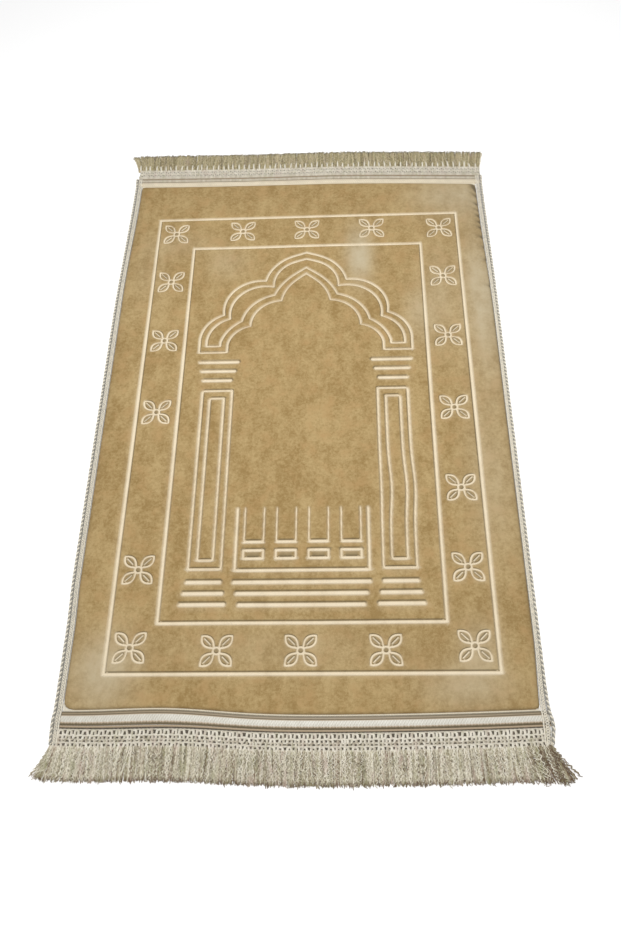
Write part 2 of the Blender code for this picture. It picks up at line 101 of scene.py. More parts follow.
VELVET_SIDES = {
    LEFT: side_line(-344.7, (260, 530, 6.5), (-300, -390, 2.6)),
    RIGHT: side_line(341.1, (200, 530, 5.7), (-400, -520, 3.3)),
}
BRAID_SIDES = {
    LEFT: side_line(-357, (200, 560, 6.2), (-300, -390, 2.5)),
    RIGHT: side_line(350.6, (250, 540, 2.4), (-470, -530, -1.5)),
}
VELVET_LEFT = VELVET_SIDES[LEFT].x
VELVET_RIGHT = VELVET_SIDES[RIGHT].x
VELVET_NEAR = -514.5 * MM
VELVET_FAR = 549 * MM
NEAR_BOW = 7 * MM
NEAR_DENT = 8.2 * MM
NEAR_DENT_X = -190 * MM
NEAR_DENT_HALF_WIDTH = 105 * MM
FAR_DROOP = 12.5 * MM
FAR_DROOP_START = 40 * MM
FAR_LIFT = 4.5 * MM
FAR_LIFT_START = -110 * MM
FAR_BEND_POWER = 1.3

# ---------------------------------------------------------------- sizes of the pressed pattern

# Half widths of the pressed lines, and how much of a line is lost where it runs towards the light.
LINE = 2.6 * MM
ARCH_LINE = 2.1 * MM
BAR = 3.2 * MM
PETAL_LINE = 1.5 * MM
RIB_LINE = 1.0 * MM
WINDOW_LINE = 2.4 * MM
NICHE_LINE = 2.1 * MM
SHAFT_LINE = 2.3 * MM
SOFTNESS = 0.15
ARCH_SOFTNESS = 0.4
NICHE_SOFTNESS = 0.56
SHAFT_SOFTNESS = 0.5
RIB_SOFTNESS = 0.45

Frame = namedtuple("Frame", "half_width half_length")
BORDERS = in_mm(Frame, (289, 456), (217, 378.5))

Arch = namedtuple("Arch", "apex_y neck_x neck_y waist_x waist_y foot_x spring_y foot_y "
                          "top_bulge middle_bulge low_bulge")
OUTER_BAND = in_mm(
    Arch,
    (361, 75, 293, 149, 213, 190, 150, 128, 17, 27, 12.5),
    (309, 45, 245, 100, 186, 139.5, 145, 128, 9.5, 16, 9),
)
INNER_BAND = in_mm(
    Arch,
    (345, 60, 278, 137.5, 204, 177.5, 152, 142, 19.5, 29, 10.5),
    (324, 58, 258, 116, 198, 152.5, 150, 142, 8.5, 12.5, 6),
)
LOBE_STEPS = 24
TIP_RISE = 3.5 * MM
TIP_REACH = 24 * MM

Bar = namedtuple("Bar", "inner_x outer_x y")
CAPITAL_BARS = in_mm(Bar, (115.5, 188.5, 106.5), (120.5, 184, 87), (126.5, 180, 67))
FOOT_BARS = in_mm(Bar, (123, 180, -312.5), (119, 184, -331), (115, 188, -349))
Shaft = namedtuple("Shaft", "inner_x outer_x top_y bottom_y")
SHAFTS = in_mm(Shaft, (126, 177.5, 45, -291), (139.5, 164, 29, -276))

BOX_HALF_WIDTH = 104.5 * MM
BOX_BOTTOM = -293.5 * MM
BOX_TOP = -183 * MM
NICHE_COUNT = 4
NICHE_PITCH = 51.2 * MM
NICHE_MIDDLES = [(index - (NICHE_COUNT - 1) / 2) * NICHE_PITCH for index in range(NICHE_COUNT)]
NICHE_HALF_WIDTH = 15.4 * MM
NICHE_BOTTOM = -245 * MM
WINDOW_HALF_WIDTH = 15.6 * MM
WINDOW_TOP = -259.5 * MM
WINDOW_BOTTOM = -273.5 * MM
Step = namedtuple("Step", "half_width y")
BASE_STEPS = in_mm(Step, (107.5, -313), (102.5, -331.5), (98, -350))

FLOWER_REACH = 32 * MM
FLOWER_EYE = 5.2 * MM
EYE_SIDES = 16
PETAL_LENGTH = FLOWER_REACH - FLOWER_EYE
PETAL_HALF_WIDTH = 7.4 * MM
PETAL_BELLY = 1.12
PETAL_STEPS = 9
PETAL_ANGLES = [math.pi * (quarter + 0.5) / 2 for quarter in range(4)]
RIB_START = 0.3
RIB_END = 0.78
FLOWER_ROW_X = (-124.5 * MM, 0, 125 * MM)
FLOWER_ROW_Y = 421.5 * MM
FLOWER_COLUMN_X = 254.5 * MM
FLOWER_COLUMN_Y = (418 * MM, 296 * MM, 157 * MM, 2.5 * MM, -152.5 * MM, -291 * MM, -416 * MM)
BARE_PLACE = (LEFT, -152.5 * MM)

# ---------------------------------------------------------------- sizes that the trims share

BRAID_PITCH = 7.4 * MM
PIPING_RADIUS = 1.6 * MM
TAPE_START = 2 * PIPING_RADIUS + 2 * GAP
Fold = namedtuple("Fold", "distance height")
TAPE_FOLDS = {
    NEAR: (
        Fold(2.4 * MM, 0.9 * MM),
        Fold(TAPE_START, 1.2 * MM),
        *in_mm(Fold, (7.2, 1.4), (8.8, 2.9), (14.2, 3.6), (19.2, 3.0), (20.6, 1.4), (21.2, 1.2)),
    ),
    FAR: (
        Fold(TAPE_START, 1.8 * MM),
        *in_mm(Fold, (4.8, 2.8), (9.2, 3.5), (13.4, 2.8), (14.6, 1.4), (21.2, 1.2)),
    ),
}
CORD_RADIUS = 1.5 * MM
CORD_START = TAPE_FOLDS[NEAR][-1].distance + GAP
HEADING_START = CORD_START + 2 * CORD_RADIUS + GAP
FRINGE_START = 46 * MM
TRIM_OVERHANG = 13 * MM
Fan = namedtuple("Fan", "spread reach")
FANS = {
    (LEFT, NEAR): Fan(16.5 * MM, 34 * MM),
    (RIGHT, NEAR): Fan(30 * MM, 34 * MM),
    (LEFT, FAR): Fan(16 * MM, 30 * MM),
    (RIGHT, FAR): Fan(7 * MM, 30 * MM),
}

OUTLINE_STEP = 4 * MM
INSIDE = 1
MERGE = 0.12 * MM
Groove = namedtuple("Groove", "points closed half_width softness", defaults=(SOFTNESS,))


# ---------------------------------------------------------------- plan of the rug

def eased(t):
    """Smooth step from 0 to 1, for numbers and arrays."""
    t = np.clip(t, 0, 1)
    return t * t * (3 - 2 * t)


def spaced(start, end, step):
    """Values from start to end in equal steps of about the given size."""
    count = max(1, round(abs(end - start) / step))
    return np.linspace(start, end, count + 1)


def direction(angle):
    """A plan vector of length one along an angle."""
    return Vector((math.cos(angle), math.sin(angle)))


def plan_array(points):
    """Plan vectors as one array."""
    return np.array([tuple(point) for point in points])


def side_x(side, lines, y):
    """A line down the rug's side, drawn in towards both ends."""
    line = lines[side]
    drawn = sum(taper.depth * eased((y - taper.start) / (taper.end - taper.start))
                for taper in (line.far, line.near))
    return line.x - side * drawn


def edge_x(side, y):
    """The velvet's side edge."""
    return side_x(side, VELVET_SIDES, y)


def edge_y(end, x):
    """The velvet's end edge: a bow and a dent at the near end, two bends at the far one."""
    if end == NEAR:
        push = NEAR_DENT * np.exp(-((x - NEAR_DENT_X) / NEAR_DENT_HALF_WIDTH) ** 2)
        return VELVET_NEAR + NEAR_BOW * (x / VELVET_RIGHT) ** 2 + push
    droop = np.maximum(0, x - FAR_DROOP_START) / (VELVET_RIGHT - FAR_DROOP_START)
    lift = np.maximum(0, FAR_LIFT_START - x) / (FAR_LIFT_START - VELVET_LEFT)
    return VELVET_FAR - FAR_DROOP * droop ** FAR_BEND_POWER + FAR_LIFT * lift ** FAR_BEND_POWER


def velvet_corner(corner):
    """The square corner, before it is rounded."""
    x = edge_x(corner.side, edge_y(corner.end, 0))
    return Vector((x, edge_y(corner.end, x)))


def velvet_outline(step):
    """The panel's outline, counter-clockwise from its near left corner."""
    points = []
    for index, corner in enumerate(CORNERS):
        following = CORNERS[(index + 1) % len(CORNERS)]
        tip, end_tip = velvet_corner(corner), velvet_corner(following)
        on_end = corner.end == following.end
        axis = 0 if on_end else 1
        forward = 1 if end_tip[axis] > tip[axis] else -1
        start = tip[axis] + forward * corner.radius
        stop = end_tip[axis] - forward * following.radius
        for value in spaced(start, stop, step):
            if on_end:
                points.append(Vector((value, edge_y(corner.end, value))))
            else:
                points.append(Vector((edge_x(corner.side, value), value)))
        along = (end_tip - tip).normalized()
        arrive = points[-1]
        leave = end_tip + Vector((-along.y, along.x)) * following.radius
        for t in spaced(0, 1, step / following.radius)[1:-1]:
            points.append(arrive.lerp(end_tip, t).lerp(end_tip.lerp(leave, t), t))
    return points


def arc(start, end, bulge, steps):
    """Points after start, up to end, on the arc that stands out by bulge left of its chord."""
    chord = end - start
    half = chord.length / 2
    radius = (half * half + bulge * bulge) / (2 * bulge)
    side = Vector((-chord.y, chord.x)).normalized()
    centre = (start + end) / 2 + side * (bulge - radius)
    first = math.atan2(start.y - centre.y, start.x - centre.x)
    sweep = 2 * math.asin(min(1, half / radius))
    turns = [first - sweep * i / steps for i in range(1, steps + 1)]
    return [centre + radius * direction(turn) for turn in turns]


def arch_half(line):
    """One line of the arch on its right side, from its small pointed tip down to the foot."""
    apex = Vector((0, line.apex_y - TIP_RISE))
    neck = Vector((line.neck_x, line.neck_y))
    waist = Vector((line.waist_x, line.waist_y))
    spring = Vector((line.foot_x, line.spring_y))
    bulges = (line.top_bulge, line.middle_bulge, line.low_bulge)
    points = [apex]
    for start, end, bulge in zip((apex, neck, waist), (neck, waist, spring), bulges):
        points += arc(start, end, bulge, LOBE_STEPS)
    for point in points:
        point.y += TIP_RISE * max(0, 1 - point.x / TIP_REACH) ** 2
    return points + [Vector((line.foot_x, line.foot_y))]


def arch_band(outer, inner):
    """Closed outline of one band of the arch: down its outer line, back along its inner one."""
    right = arch_half(outer) + list(reversed(arch_half(inner)))
    left = [Vector((-point.x, point.y)) for point in reversed(right)]
    return Groove(right + left[1:-1], True, ARCH_LINE, ARCH_SOFTNESS)


def rectangle(left, right, bottom, top, half_width=LINE, softness=SOFTNESS):
    """A closed rectangular line."""
    corners = ((left, bottom), (right, bottom), (right, top), (left, top))
    return Groove([Vector(corner) for corner in corners], True, half_width, softness)


def bar(left, right, y):
    """A level bar between two outer ends."""
    return Groove([Vector((left + BAR, y)), Vector((right - BAR, y))], False, BAR)


def column_grooves():
    """Capital bars, nested shafts and foot bars of both columns."""
    grooves = []
    for row in CAPITAL_BARS + FOOT_BARS:
        grooves.append(bar(row.inner_x, row.outer_x, row.y))
        grooves.append(bar(-row.outer_x, -row.inner_x, row.y))
    for row in SHAFTS:
        for left, right in ((row.inner_x, row.outer_x), (-row.outer_x, -row.inner_x)):
            grooves.append(rectangle(left, right, row.bottom_y, row.top_y, SHAFT_LINE, SHAFT_SOFTNESS))
    return grooves


def niche(middle):
    """A niche of the base: two thin sides on a wide bottom line."""
    tops, feet = ([Vector((middle + side * NICHE_HALF_WIDTH, y)) for side in SIDES]
                  for y in (BOX_TOP, NICHE_BOTTOM))
    sides = [Groove(list(ends), False, NICHE_LINE, NICHE_SOFTNESS) for ends in zip(tops, feet)]
    return sides + [Groove(feet, False, LINE)]


def base_grooves():
    """The open box, its niches and windows, and the steps under it."""
    corners = ((-1, BOX_TOP), (-1, BOX_BOTTOM), (1, BOX_BOTTOM), (1, BOX_TOP))
    points = [Vector((side * BOX_HALF_WIDTH, y)) for side, y in corners]
    grooves = [Groove(points, False, LINE)]
    for middle in NICHE_MIDDLES:
        grooves += niche(middle)
        grooves.append(rectangle(middle - WINDOW_HALF_WIDTH, middle + WINDOW_HALF_WIDTH,
                                 WINDOW_BOTTOM, WINDOW_TOP, WINDOW_LINE))
    for step in BASE_STEPS:
        grooves.append(bar(-step.half_width, step.half_width, step.y))
    return grooves


def petal(centre, angle):
    """A leaf from the flower's eye to its pointed tip, widest past its middle."""
    out = direction(angle)
    side = Vector((-out.y, out.x))
    stations = [i / PETAL_STEPS for i in range(PETAL_STEPS + 1)]
    sides = [(s, 4 * s ** PETAL_BELLY * (1 - s ** PETAL_BELLY)) for s in stations]
    sides += [(s, -width) for s, width in reversed(sides[1:-1])]
    points = [centre + out * (FLOWER_EYE + s * PETAL_LENGTH) + side * width * PETAL_HALF_WIDTH
              for s, width in sides]
    return Groove(points, True, PETAL_LINE)


def petal_rib(centre, angle, softness):
    """The line along the middle of a petal."""
    out = direction(angle)
    ends = [centre + out * (FLOWER_EYE + s * PETAL_LENGTH) for s in (RIB_START, RIB_END)]
    return Groove(ends, False, RIB_LINE, softness)


def flower_centres():
    """Where the border's flowers stand: a row at each end and a column at each side."""
    centres = [Vector((x, end * FLOWER_ROW_Y)) for end in ENDS for x in FLOWER_ROW_X]
    for side in SIDES:
        centres += [Vector((side * FLOWER_COLUMN_X, y)) for y in FLOWER_COLUMN_Y
                    if (side, y) != BARE_PLACE]
    return centres


def flower_grooves():
    """Every flower of the border: an eye and four petals on the diagonals."""
    corners = (min(FLOWER_COLUMN_Y), max(FLOWER_COLUMN_Y))
    grooves = []
    for centre in flower_centres():
        turns = [2 * math.pi * (i + 0.5) / EYE_SIDES for i in range(EYE_SIDES)]
        eye = [centre + FLOWER_EYE * direction(turn) for turn in turns]
        grooves.append(Groove(eye, True, PETAL_LINE))
        for angle in PETAL_ANGLES:
            grooves.append(petal(centre, angle))
            at_corner = min(abs(centre.y - y) for y in corners) < GAP
            grooves.append(petal_rib(centre, angle, SOFTNESS if at_corner else RIB_SOFTNESS))
    return grooves


def pattern():
    """All the lines that are pressed into the pile."""
    grooves = []
    for row in BORDERS:
        grooves.append(rectangle(-row.half_width, row.half_width, -row.half_length, row.half_length))
    grooves += [arch_band(*OUTER_BAND), arch_band(*INNER_BAND)]
    return grooves + column_grooves() + base_grooves() + flower_grooves()


def resampled(points, closed, step):
    """The line as an array with extra points, so that no stretch is longer than step."""
    result = []
    pairs = list(zip(points, points[1:] + points[:1]))
    for start, end in pairs if closed else pairs[:-1]:
        count = max(1, math.ceil((end - start).length / step))
        result += [start.lerp(end, i / count) for i in range(count)]
    if not closed:
        result.append(points[-1])
    return plan_array(result)


def offset(line, distance, closed):
    """The line moved to its left by distance, point by point."""
    if closed:
        along = np.roll(line, -1, axis=0) - np.roll(line, 1, axis=0)
    else:
        along = np.gradient(line, axis=0)
    along /= np.linalg.norm(along, axis=1, keepdims=True)
    return line + distance * np.stack([-along[:, 1], along[:, 0]], axis=1)


OUTLINE = velvet_outline(OUTLINE_STEP)
PATTERN_ORIGIN = np.array(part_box("velvet_panel")[0][:2]) - plan_array(OUTLINE).min(axis=0)


def placed(points):
    """Plan points, or points with a height, moved into the rug's own frame."""
    moved = np.array(points, float)
    moved[..., :2] += PATTERN_ORIGIN
    return moved


# ---------------------------------------------------------------- meshes

def mesh_object(name, points, faces, values=None):
    """A smooth-shaded mesh object, with float attributes on its points."""
    mesh = bpy.data.meshes.new(name)
    mesh.from_pydata(placed(points).tolist(), [], faces)
    for key, numbers in (values or {}).items():
        attribute = mesh.attributes.new(key, "FLOAT", "POINT")
        attribute.data.foreach_set("value", np.asarray(numbers, np.float32))
    mesh.shade_smooth()
    mesh.update()
    piece = bpy.data.objects.new(name, mesh)
    bpy.context.scene.collection.objects.link(piece)
    return piece


class Bundle:
    """Many swept yarns that become one mesh."""

    def __init__(self):
        self.points = []
        self.faces = []
        self.tones = []
        self.count = 0

    def sweep(self, lines, radius, sides=6, taper=1, flat=1, plies=2, lobe=0, pitch=6 * MM,
              tone=0.5):
        """Add a tube along each line of an array (yarn, step, xyz).

        Its section has as many lobes as the yarn has plies, and turns once in each pitch.
        """
        lines = np.asarray(lines, float)
        yarns, steps = lines.shape[:2]
        along = np.gradient(lines, axis=1)
        along /= np.linalg.norm(along, axis=2, keepdims=True)
        side = np.cross(along, (0, 0, 1))
        side /= np.linalg.norm(side, axis=2, keepdims=True)
        up = np.cross(side, along)
        reach = np.zeros((yarns, steps))
        reach[:, 1:] = np.cumsum(np.linalg.norm(np.diff(lines, axis=1), axis=2), axis=1)
        turn = 2 * np.pi * reach / pitch
        angle = 2 * np.pi * np.arange(sides) / sides
        thickness = radius * taper * np.ones((1, steps))
        section = thickness[..., None] * (1 + lobe * np.cos(plies * (angle - turn[..., None])))
        across = (section * np.cos(angle))[..., None] * side[:, :, None]
        rise = (flat * section * np.sin(angle))[..., None] * up[:, :, None]
        self.points.append((lines[:, :, None] + across + rise).reshape(-1, 3))
        tones = tone if np.ndim(tone) == 2 else np.reshape(tone, (-1, 1))
        self.tones.append(np.repeat(np.broadcast_to(tones, (yarns, steps)), sides))
        self.join(yarns, steps, sides)

    def join(self, yarns, steps, sides):
        """Faces round the new yarns, and a cap on each of their ends."""
        index = self.count + np.arange(yarns * steps * sides).reshape(yarns, steps, sides)
        after = np.roll(index, -1, axis=2)
        quads = np.stack([index[:, :-1], after[:, :-1], after[:, 1:], index[:, 1:]], axis=-1)
        self.faces += quads[..., ::-1].reshape(-1, 4).tolist()
        self.faces += index[:, 0].tolist()
        self.faces += index[:, -1, ::-1].tolist()
        self.count += yarns * steps * sides

    def piece(self, name):
        """The bundle as one object."""
        tones = {"tone": np.concatenate(self.tones)}
        return mesh_object(name, np.concatenate(self.points), self.faces, tones)


def grid_strip(name, rows, values):
    """A closed flat body whose top is a grid of points and whose underside lies on the floor."""
    rows = np.asarray(rows, float)
    across, along = rows.shape[:2]
    index = np.arange(across * along).reshape(across, along)
    top = np.stack([index[:-1, :-1], index[:-1, 1:], index[1:, 1:], index[1:, :-1]], axis=-1)
    rim = np.concatenate([index[0, :-1], index[:-1, -1], index[-1, :0:-1], index[:0:-1, 0]])
    points = rows.reshape(-1, 3)
    low = points[rim].copy()
    low[:, 2] = 0
    below = len(points) + np.arange(len(rim))
    walls = np.stack([rim, below, np.roll(below, -1), np.roll(rim, -1)], axis=-1)
    faces = top.reshape(-1, 4)[:, ::-1].tolist() + walls[:, ::-1].tolist() + [below[::-1].tolist()]
    flat = {key: np.ravel(number) for key, number in values.items()}
    low_values = {key: np.concatenate([number, number[rim]]) for key, number in flat.items()}
    return mesh_object(name, np.concatenate([points, low]), faces, low_values)


# ---------------------------------------------------------------- materials

class Value:
    """A number in a material, which takes part in plain expressions."""

    def __init__(self, finish, socket):
        self.finish = finish
        self.socket = socket

    def math(self, operation, first, second):
        """A Math node of two values or numbers."""
        return self.finish.node("ShaderNodeMath", {"operation": operation}, {0: first, 1: second})

    def __add__(self, other):
        return self.math("ADD", self, other)

    __radd__ = __add__

    def __mul__(self, other):
        return self.math("MULTIPLY", self, other)

    __rmul__ = __mul__

    def __sub__(self, other):
        return self.math("SUBTRACT", self, other)

    def __rsub__(self, other):
        return self.math("SUBTRACT", other, self)


class Finish:
    """One material on a Principled shader."""

    def __init__(self, name, **constants):
        self.material = bpy.data.materials.new(name)
        self.material.use_nodes = True
        self.tree = self.material.node_tree
        self.shader = self.tree.nodes["Principled BSDF"]
        for key, number in constants.items():
            self.shader.inputs[key.replace("_", " ")].default_value = number

    def put(self, socket, value):
        """Link a value to a socket, or set a constant on it."""
        if isinstance(value, Value):
            self.tree.links.new(value.socket, socket)
        elif socket.type == "RGBA" and len(value) == 3:
            socket.default_value = (*value, 1)
        else:
            socket.default_value = value

    def node(self, kind, settings=None, sockets=None, output=0):
        """Add a node with its settings made first, and return one of its outputs."""
        made = self.tree.nodes.new(kind)
        for key, setting in (settings or {}).items():
            if key == "stops":
                self.stops(made.color_ramp, setting)
            else:
                setattr(made, key, setting)
        for key, value in (sockets or {}).items():
            self.put(made.inputs[key], value)
        return Value(self, made.outputs[output])

    def stops(self, ramp, stops):
        """Give a colour ramp its stops."""
        while len(ramp.elements) < len(stops):
            ramp.elements.new(0.5)
        for element, (position, color) in zip(ramp.elements, stops):
            element.position = position
            element.color = (*color, 1)

    def place(self):
        """The point's place on the object."""
        return self.node("ShaderNodeTexCoord", output="Object")

    def noise(self, size, detail=2, roughness=0.5, stretch=(1, 1, 1)):
        """Soft noise whose lumps are about the given size, finer along an axis with more stretch."""
        place = self.node("ShaderNodeVectorMath", {"operation": "MULTIPLY"},
                          {0: self.place(), 1: stretch})
        return self.node("ShaderNodeTexNoise", {}, {
            "Vector": place, "Scale": 1 / size, "Detail": detail, "Roughness": roughness})

    def attribute(self, name):
        """A number that the mesh carries on its points."""
        return self.node("ShaderNodeAttribute", {"attribute_name": name}, output="Fac")

    def mix(self, share, first, second):
        """A colour between two others."""
        return self.node("ShaderNodeMix", {"data_type": "RGBA", "clamp_factor": True},
                         {0: share, 6: first, 7: second}, output=2)

    def ramp(self, value, stops):
        """A colour read from a ramp."""
        return self.node("ShaderNodeValToRGB", {"stops": stops}, {"Fac": value})

    def bump(self, height, distance, strength):
        """Fine relief on the surface."""
        normal = self.node("ShaderNodeBump", {}, {
            "Height": height, "Distance": distance, "Strength": strength})
        self.put(self.shader.inputs["Normal"], normal)

    def color(self, value):
        """Set the surface's colour."""
        self.put(self.shader.inputs["Base Color"], value)


def velvet_finish(look):
    """Golden plush: soft patches, brush strokes, a fine mottle and cream pressed lines, with painted
    light and shade.
    """
    finish = Finish("velvet", Roughness=0.95, Sheen_Weight=0.22, Sheen_Roughness=0.4)
    patches = finish.noise(120 * MM, 2)
    strokes = finish.noise(34 * MM, 3, 0.55, stretch=(1.6, 0.6, 1))
    mottle = finish.noise(13 * MM, 3, 0.6)
    tufts = finish.noise(4.2 * MM, 2, 0.6)
    fibre = finish.noise(1.5 * MM, 2, 0.7)
    share = (patches + (strokes - 0.5) * 1.4 + (mottle - 0.5) * 1.4
             + (tufts - 0.5) * 1.7 + (fibre - 0.5) * 1.1)
    pile = finish.mix(share, look.velvet_dark, look.velvet_light)
    warmth = (finish.noise(26 * MM, 3, 0.6) - 0.5) * 2.8
    pile = finish.mix(warmth, pile, look.velvet_warm)
    # Pale brushed pile, and a faint painted light over the near end.
    streaky = finish.attribute("brushed") * (0.2 + strokes * 0.9 + mottle * 0.7)
    pile = finish.mix(streaky, pile, look.velvet_brushed_and_lit)
    # Painted shade inside the petals, the eyes and the windows.
    pile = finish.mix(finish.attribute("shaded") * 0.75, pile, look.petal_shade)
    # Painted shade beside the lines, in the creases and at the rim.
    pile = finish.mix(finish.attribute("parted") * 0.85, pile, look.velvet_shade)
    # The pressed mask holds the lines' cream floors and painted light on their lit walls.
    pressed = finish.attribute("pressed") * (0.62 + strokes * 0.55 + fibre * 0.25)
    finish.color(finish.mix(pressed, pile, look.pressed_and_lit_cream))
    finish.bump(mottle * 0.3 + tufts * 0.3 + fibre * 0.4, 0.9 * MM, 0.7)
    return finish.material


BLUSH = (0.60, 0.45, 0.38)
OLIVE = (0.40, 0.39, 0.19)
Yarn = namedtuple("Yarn", "label dark middle light tints")
YARNS = {
    "braid": Yarn("Side braids", (0.15, 0.14, 0.12), (0.60, 0.58, 0.51), (0.93, 0.86, 0.71), 0),
    "piping": Yarn("Pipings", (0.30, 0.22, 0.12), (0.68, 0.57, 0.38), (0.84, 0.76, 0.58), 0),
    "tan": Yarn("Thin cords", (0.13, 0.09, 0.05), (0.38, 0.28, 0.17), (0.58, 0.46, 0.32), 0),
    "lace": Yarn("Headings", (0.07, 0.055, 0.035), (0.50, 0.44, 0.33), (0.88, 0.83, 0.71), 2.2),
    "tie": Yarn("Root ties", (0.5, 0.45, 0.33), (0.72, 0.66, 0.53), (0.90, 0.86, 0.74), 0),
    "near": Yarn("Near fringe", (0.15, 0.09, 0.04), (0.54, 0.485, 0.34), (0.96, 0.91, 0.77), 3.0),
    "far": Yarn("Far fringe", (0.15, 0.115, 0.05), (0.45, 0.37, 0.185), (0.75, 0.66, 0.43), 1.8),
}
TONES = ("dark", "middle", "light")


def yarn_finish(key, colors):
    """Matt twisted yarn: each yarn has its own tone, in places painted shade, with a fine fibre grain
    and stray tints.
    """
    finish = Finish(key + "_yarn", Roughness=0.85, Sheen_Weight=0.3, Sheen_Roughness=0.5)
    grain = finish.noise(1.1 * MM, 2, 0.6)
    tone = finish.attribute("tone") + (grain - 0.5) * 0.5
    dark, middle, light = (getattr(colors, key + "_" + level) for level in TONES)
    color = finish.ramp(tone, ((0, dark), (0.5, middle), (1, light)))
    tints = YARNS[key].tints
    if tints:
        drift = finish.noise(8 * MM, 3, 0.65, stretch=(1, 0.3, 1))
        color = finish.mix((drift - 0.54) * tints, color, BLUSH)
        color = finish.mix((0.46 - drift) * tints, color, OLIVE)
    finish.color(color)
    finish.bump(grain, 0.35 * MM, 0.5)
    return finish.material


def satin_finish(name, light, look):
    """Cream satin tape: painted light and shade between lit and shaded satin along a slanted twill and
    soft patches, with dark lips of painted shadow.
    """
    finish = Finish(name, Roughness=0.45, Sheen_Weight=0.2, Sheen_Roughness=0.3)
    twill = finish.attribute("twill")
    drift = finish.noise(14 * MM, 3)
    threads = finish.noise(0.8 * MM, 2, 0.6, stretch=(0.3, 1, 1))
    # Painted light and shade: lit and shaded satin mixed along the twill, the threads and soft
    # patches.
    share = drift * 0.5 + twill * 0.6 + threads * 0.4 - 0.1
    satin = finish.mix(share, look.satin_shade, light)
    # Lips: the tape's flat edges, painted dark as the shadow in the gaps beside the tape.
    lip = finish.mix(threads, look.lip_shadow, look.lip_light)
    crown = finish.attribute("crown")
    lip = finish.mix(crown * 2, lip, look.lip_peach)
    finish.color(finish.mix(crown * 2.6 - 1.6, lip, satin))
    finish.bump(threads, 0.2 * MM, 0.5)
    return finish.material


# ---------------------------------------------------------------- velvet

Pucker = namedtuple("Pucker", "y reach lean depth half_width")
PUCKERS = in_mm(
    Pucker,
    (516, 26, 62, 2.6, 3.4),
    (496, 30, 50, 1.0, 2.4),
    (474, 20, 42, 1.5, 2.2),
    (458, 24, 38, 0.9, 2.0),
    (443, 15, 40, 2.0, 2.2),
    (427, 13, 35, 1.9, 2.0),
    (412, 15, 38, 1.9, 2.2),
    (388, 12, 30, 2.1, 2.4),
    (362, 14, 30, 0.9, 2.4),
    (331, 14, 25, 0.8, 2.6),
    (268, 10, 20, 0.9, 2.6),
    plain=("lean",),
)
PUCKER_START = 0.5 * MM
PUCKER_STEP = 1.6 * MM
PUCKER_BACK = 4 * MM
PUCKER_FADE = 0.45
PUCKER_ROWS = (-1.5, -0.8, 0, 0.8, 1.5)
RIPPLE = 4 * MM
RIPPLE_X = (120 * MM, 200 * MM)
RIPPLE_Y = -150 * MM
RIPPLE_REACH = 46 * MM

# Rows of points beside every line, in half widths of the line, and a grid between the lines.
ROW_SHARES = (0.42, 0.8, 1.06, 1.36, 2.0)
ROW_STEP = 3.9 * MM
CAP_TURNS = 7
EDGE_ROWS = (0.7 * MM, 1.8 * MM, 3.4 * MM, 5.4 * MM, 8 * MM)
OUTLINE_MARGIN = 0.25 * MM
PILE_GRID = 6 * MM
GRID_CLEAR = 0.6
LINE_SAMPLE = 0.5 * MM

PILE_LUMP = 0.22 * MM
PILE_LUMP_SIZE = 28 * MM
DEPTH_SHARE = 1.15
WALL_SHARE = 0.65
LEAST_PILE = 0.6
FAR_THIN = 0.35
FAR_THIN_START = -50 * MM
RUN_OUT = 3
RUN_OUT_MARGIN = 12 * MM
RUN_OUT_START = 4 * MM
RUN_OUT_REACH = 9 * MM

# How the pile shows: the lines' cream floors and painted light, the painted shade beside them and the
# pale brushed patches.
LIGHT_FOOT = np.array((0, 200 * MM))
LIGHT_NEAR = 150 * MM
LIT_START = 0.75
LIT_FADE = 2.3
LIT_POWER = 1.5
LEAN_GAIN = 1.4
HAZE_REACH = 0.85
# Painted shade beside the lines, in the creases, along the rim and on the panel's side walls.
BESIDE = 1.2
BESIDE_REACH = 0.34
BESIDE_LEAST = 0.08
BESIDE_GAIN = 1.25
DARK_CREASE = 0.8 * MM
DARK_EDGE = 2.0 * MM
DARK_SIDE = 9 * MM
SIDE_DARK = 0.6
SIDE_SHADE = 0.16
RIM_DARK = 0.12
WALL_DARK = 0.7
HEART_SHARES = (0.42, 0.5, 0.58, 0.66, 0.74)
Shade = namedtuple("Shade", "start reach")
SHARP_EDGE = Shade(0.6, 0.45)
GROOVE_WALL = Shade(0.6, 0.7)
HEART_SHADE = Shade(1.5 * MM, 3.5 * MM)
WINDOW_SHADE_X = Shade(8 * MM, 5 * MM)
WINDOW_SHADE_Y = Shade(1.5 * MM, 4 * MM)
WINDOW_SHADE_RISE = 6 * MM
Patch = namedtuple("Patch", "x y half_width half_length strength")
BRUSHED_AND_LIT_PATCHES = in_mm(
    Patch,
    (100, 352, 24, 66, 0.9),
    (290, 502, 80, 52, 0.6),
    (322, 240, 34, 170, 0.75),
    (244, 250, 30, 120, 0.3),
    (204, 205, 26, 60, 0.35),
    (240, -478, 60, 34, 0.45),
    (262, -420, 30, 40, 0.4),
    (-290, -455, 46, 54, 0.75),
    # A faint strip of painted light across the near end.
    (-20, -420, 170, 40, 0.15),
    (-150, 340, 36, 40, 0.25),
    (-300, 330, 34, 90, 0.15),
    (-240, 390, 50, 30, 0.2),
    (306, -130, 40, 150, 0.3),
    plain=("strength",),
)


def nearest(points, targets):
    """Distance from each point to its nearest target, and that target's index."""
    tree = KDTree(len(targets))
    for index, target in enumerate(targets):
        tree.insert((target[0], target[1], 0), index)
    tree.balance()
    found = [tree.find((point[0], point[1], 0)) for point in points]
    return np.array([hit[2] for hit in found]), np.array([hit[1] for hit in found])


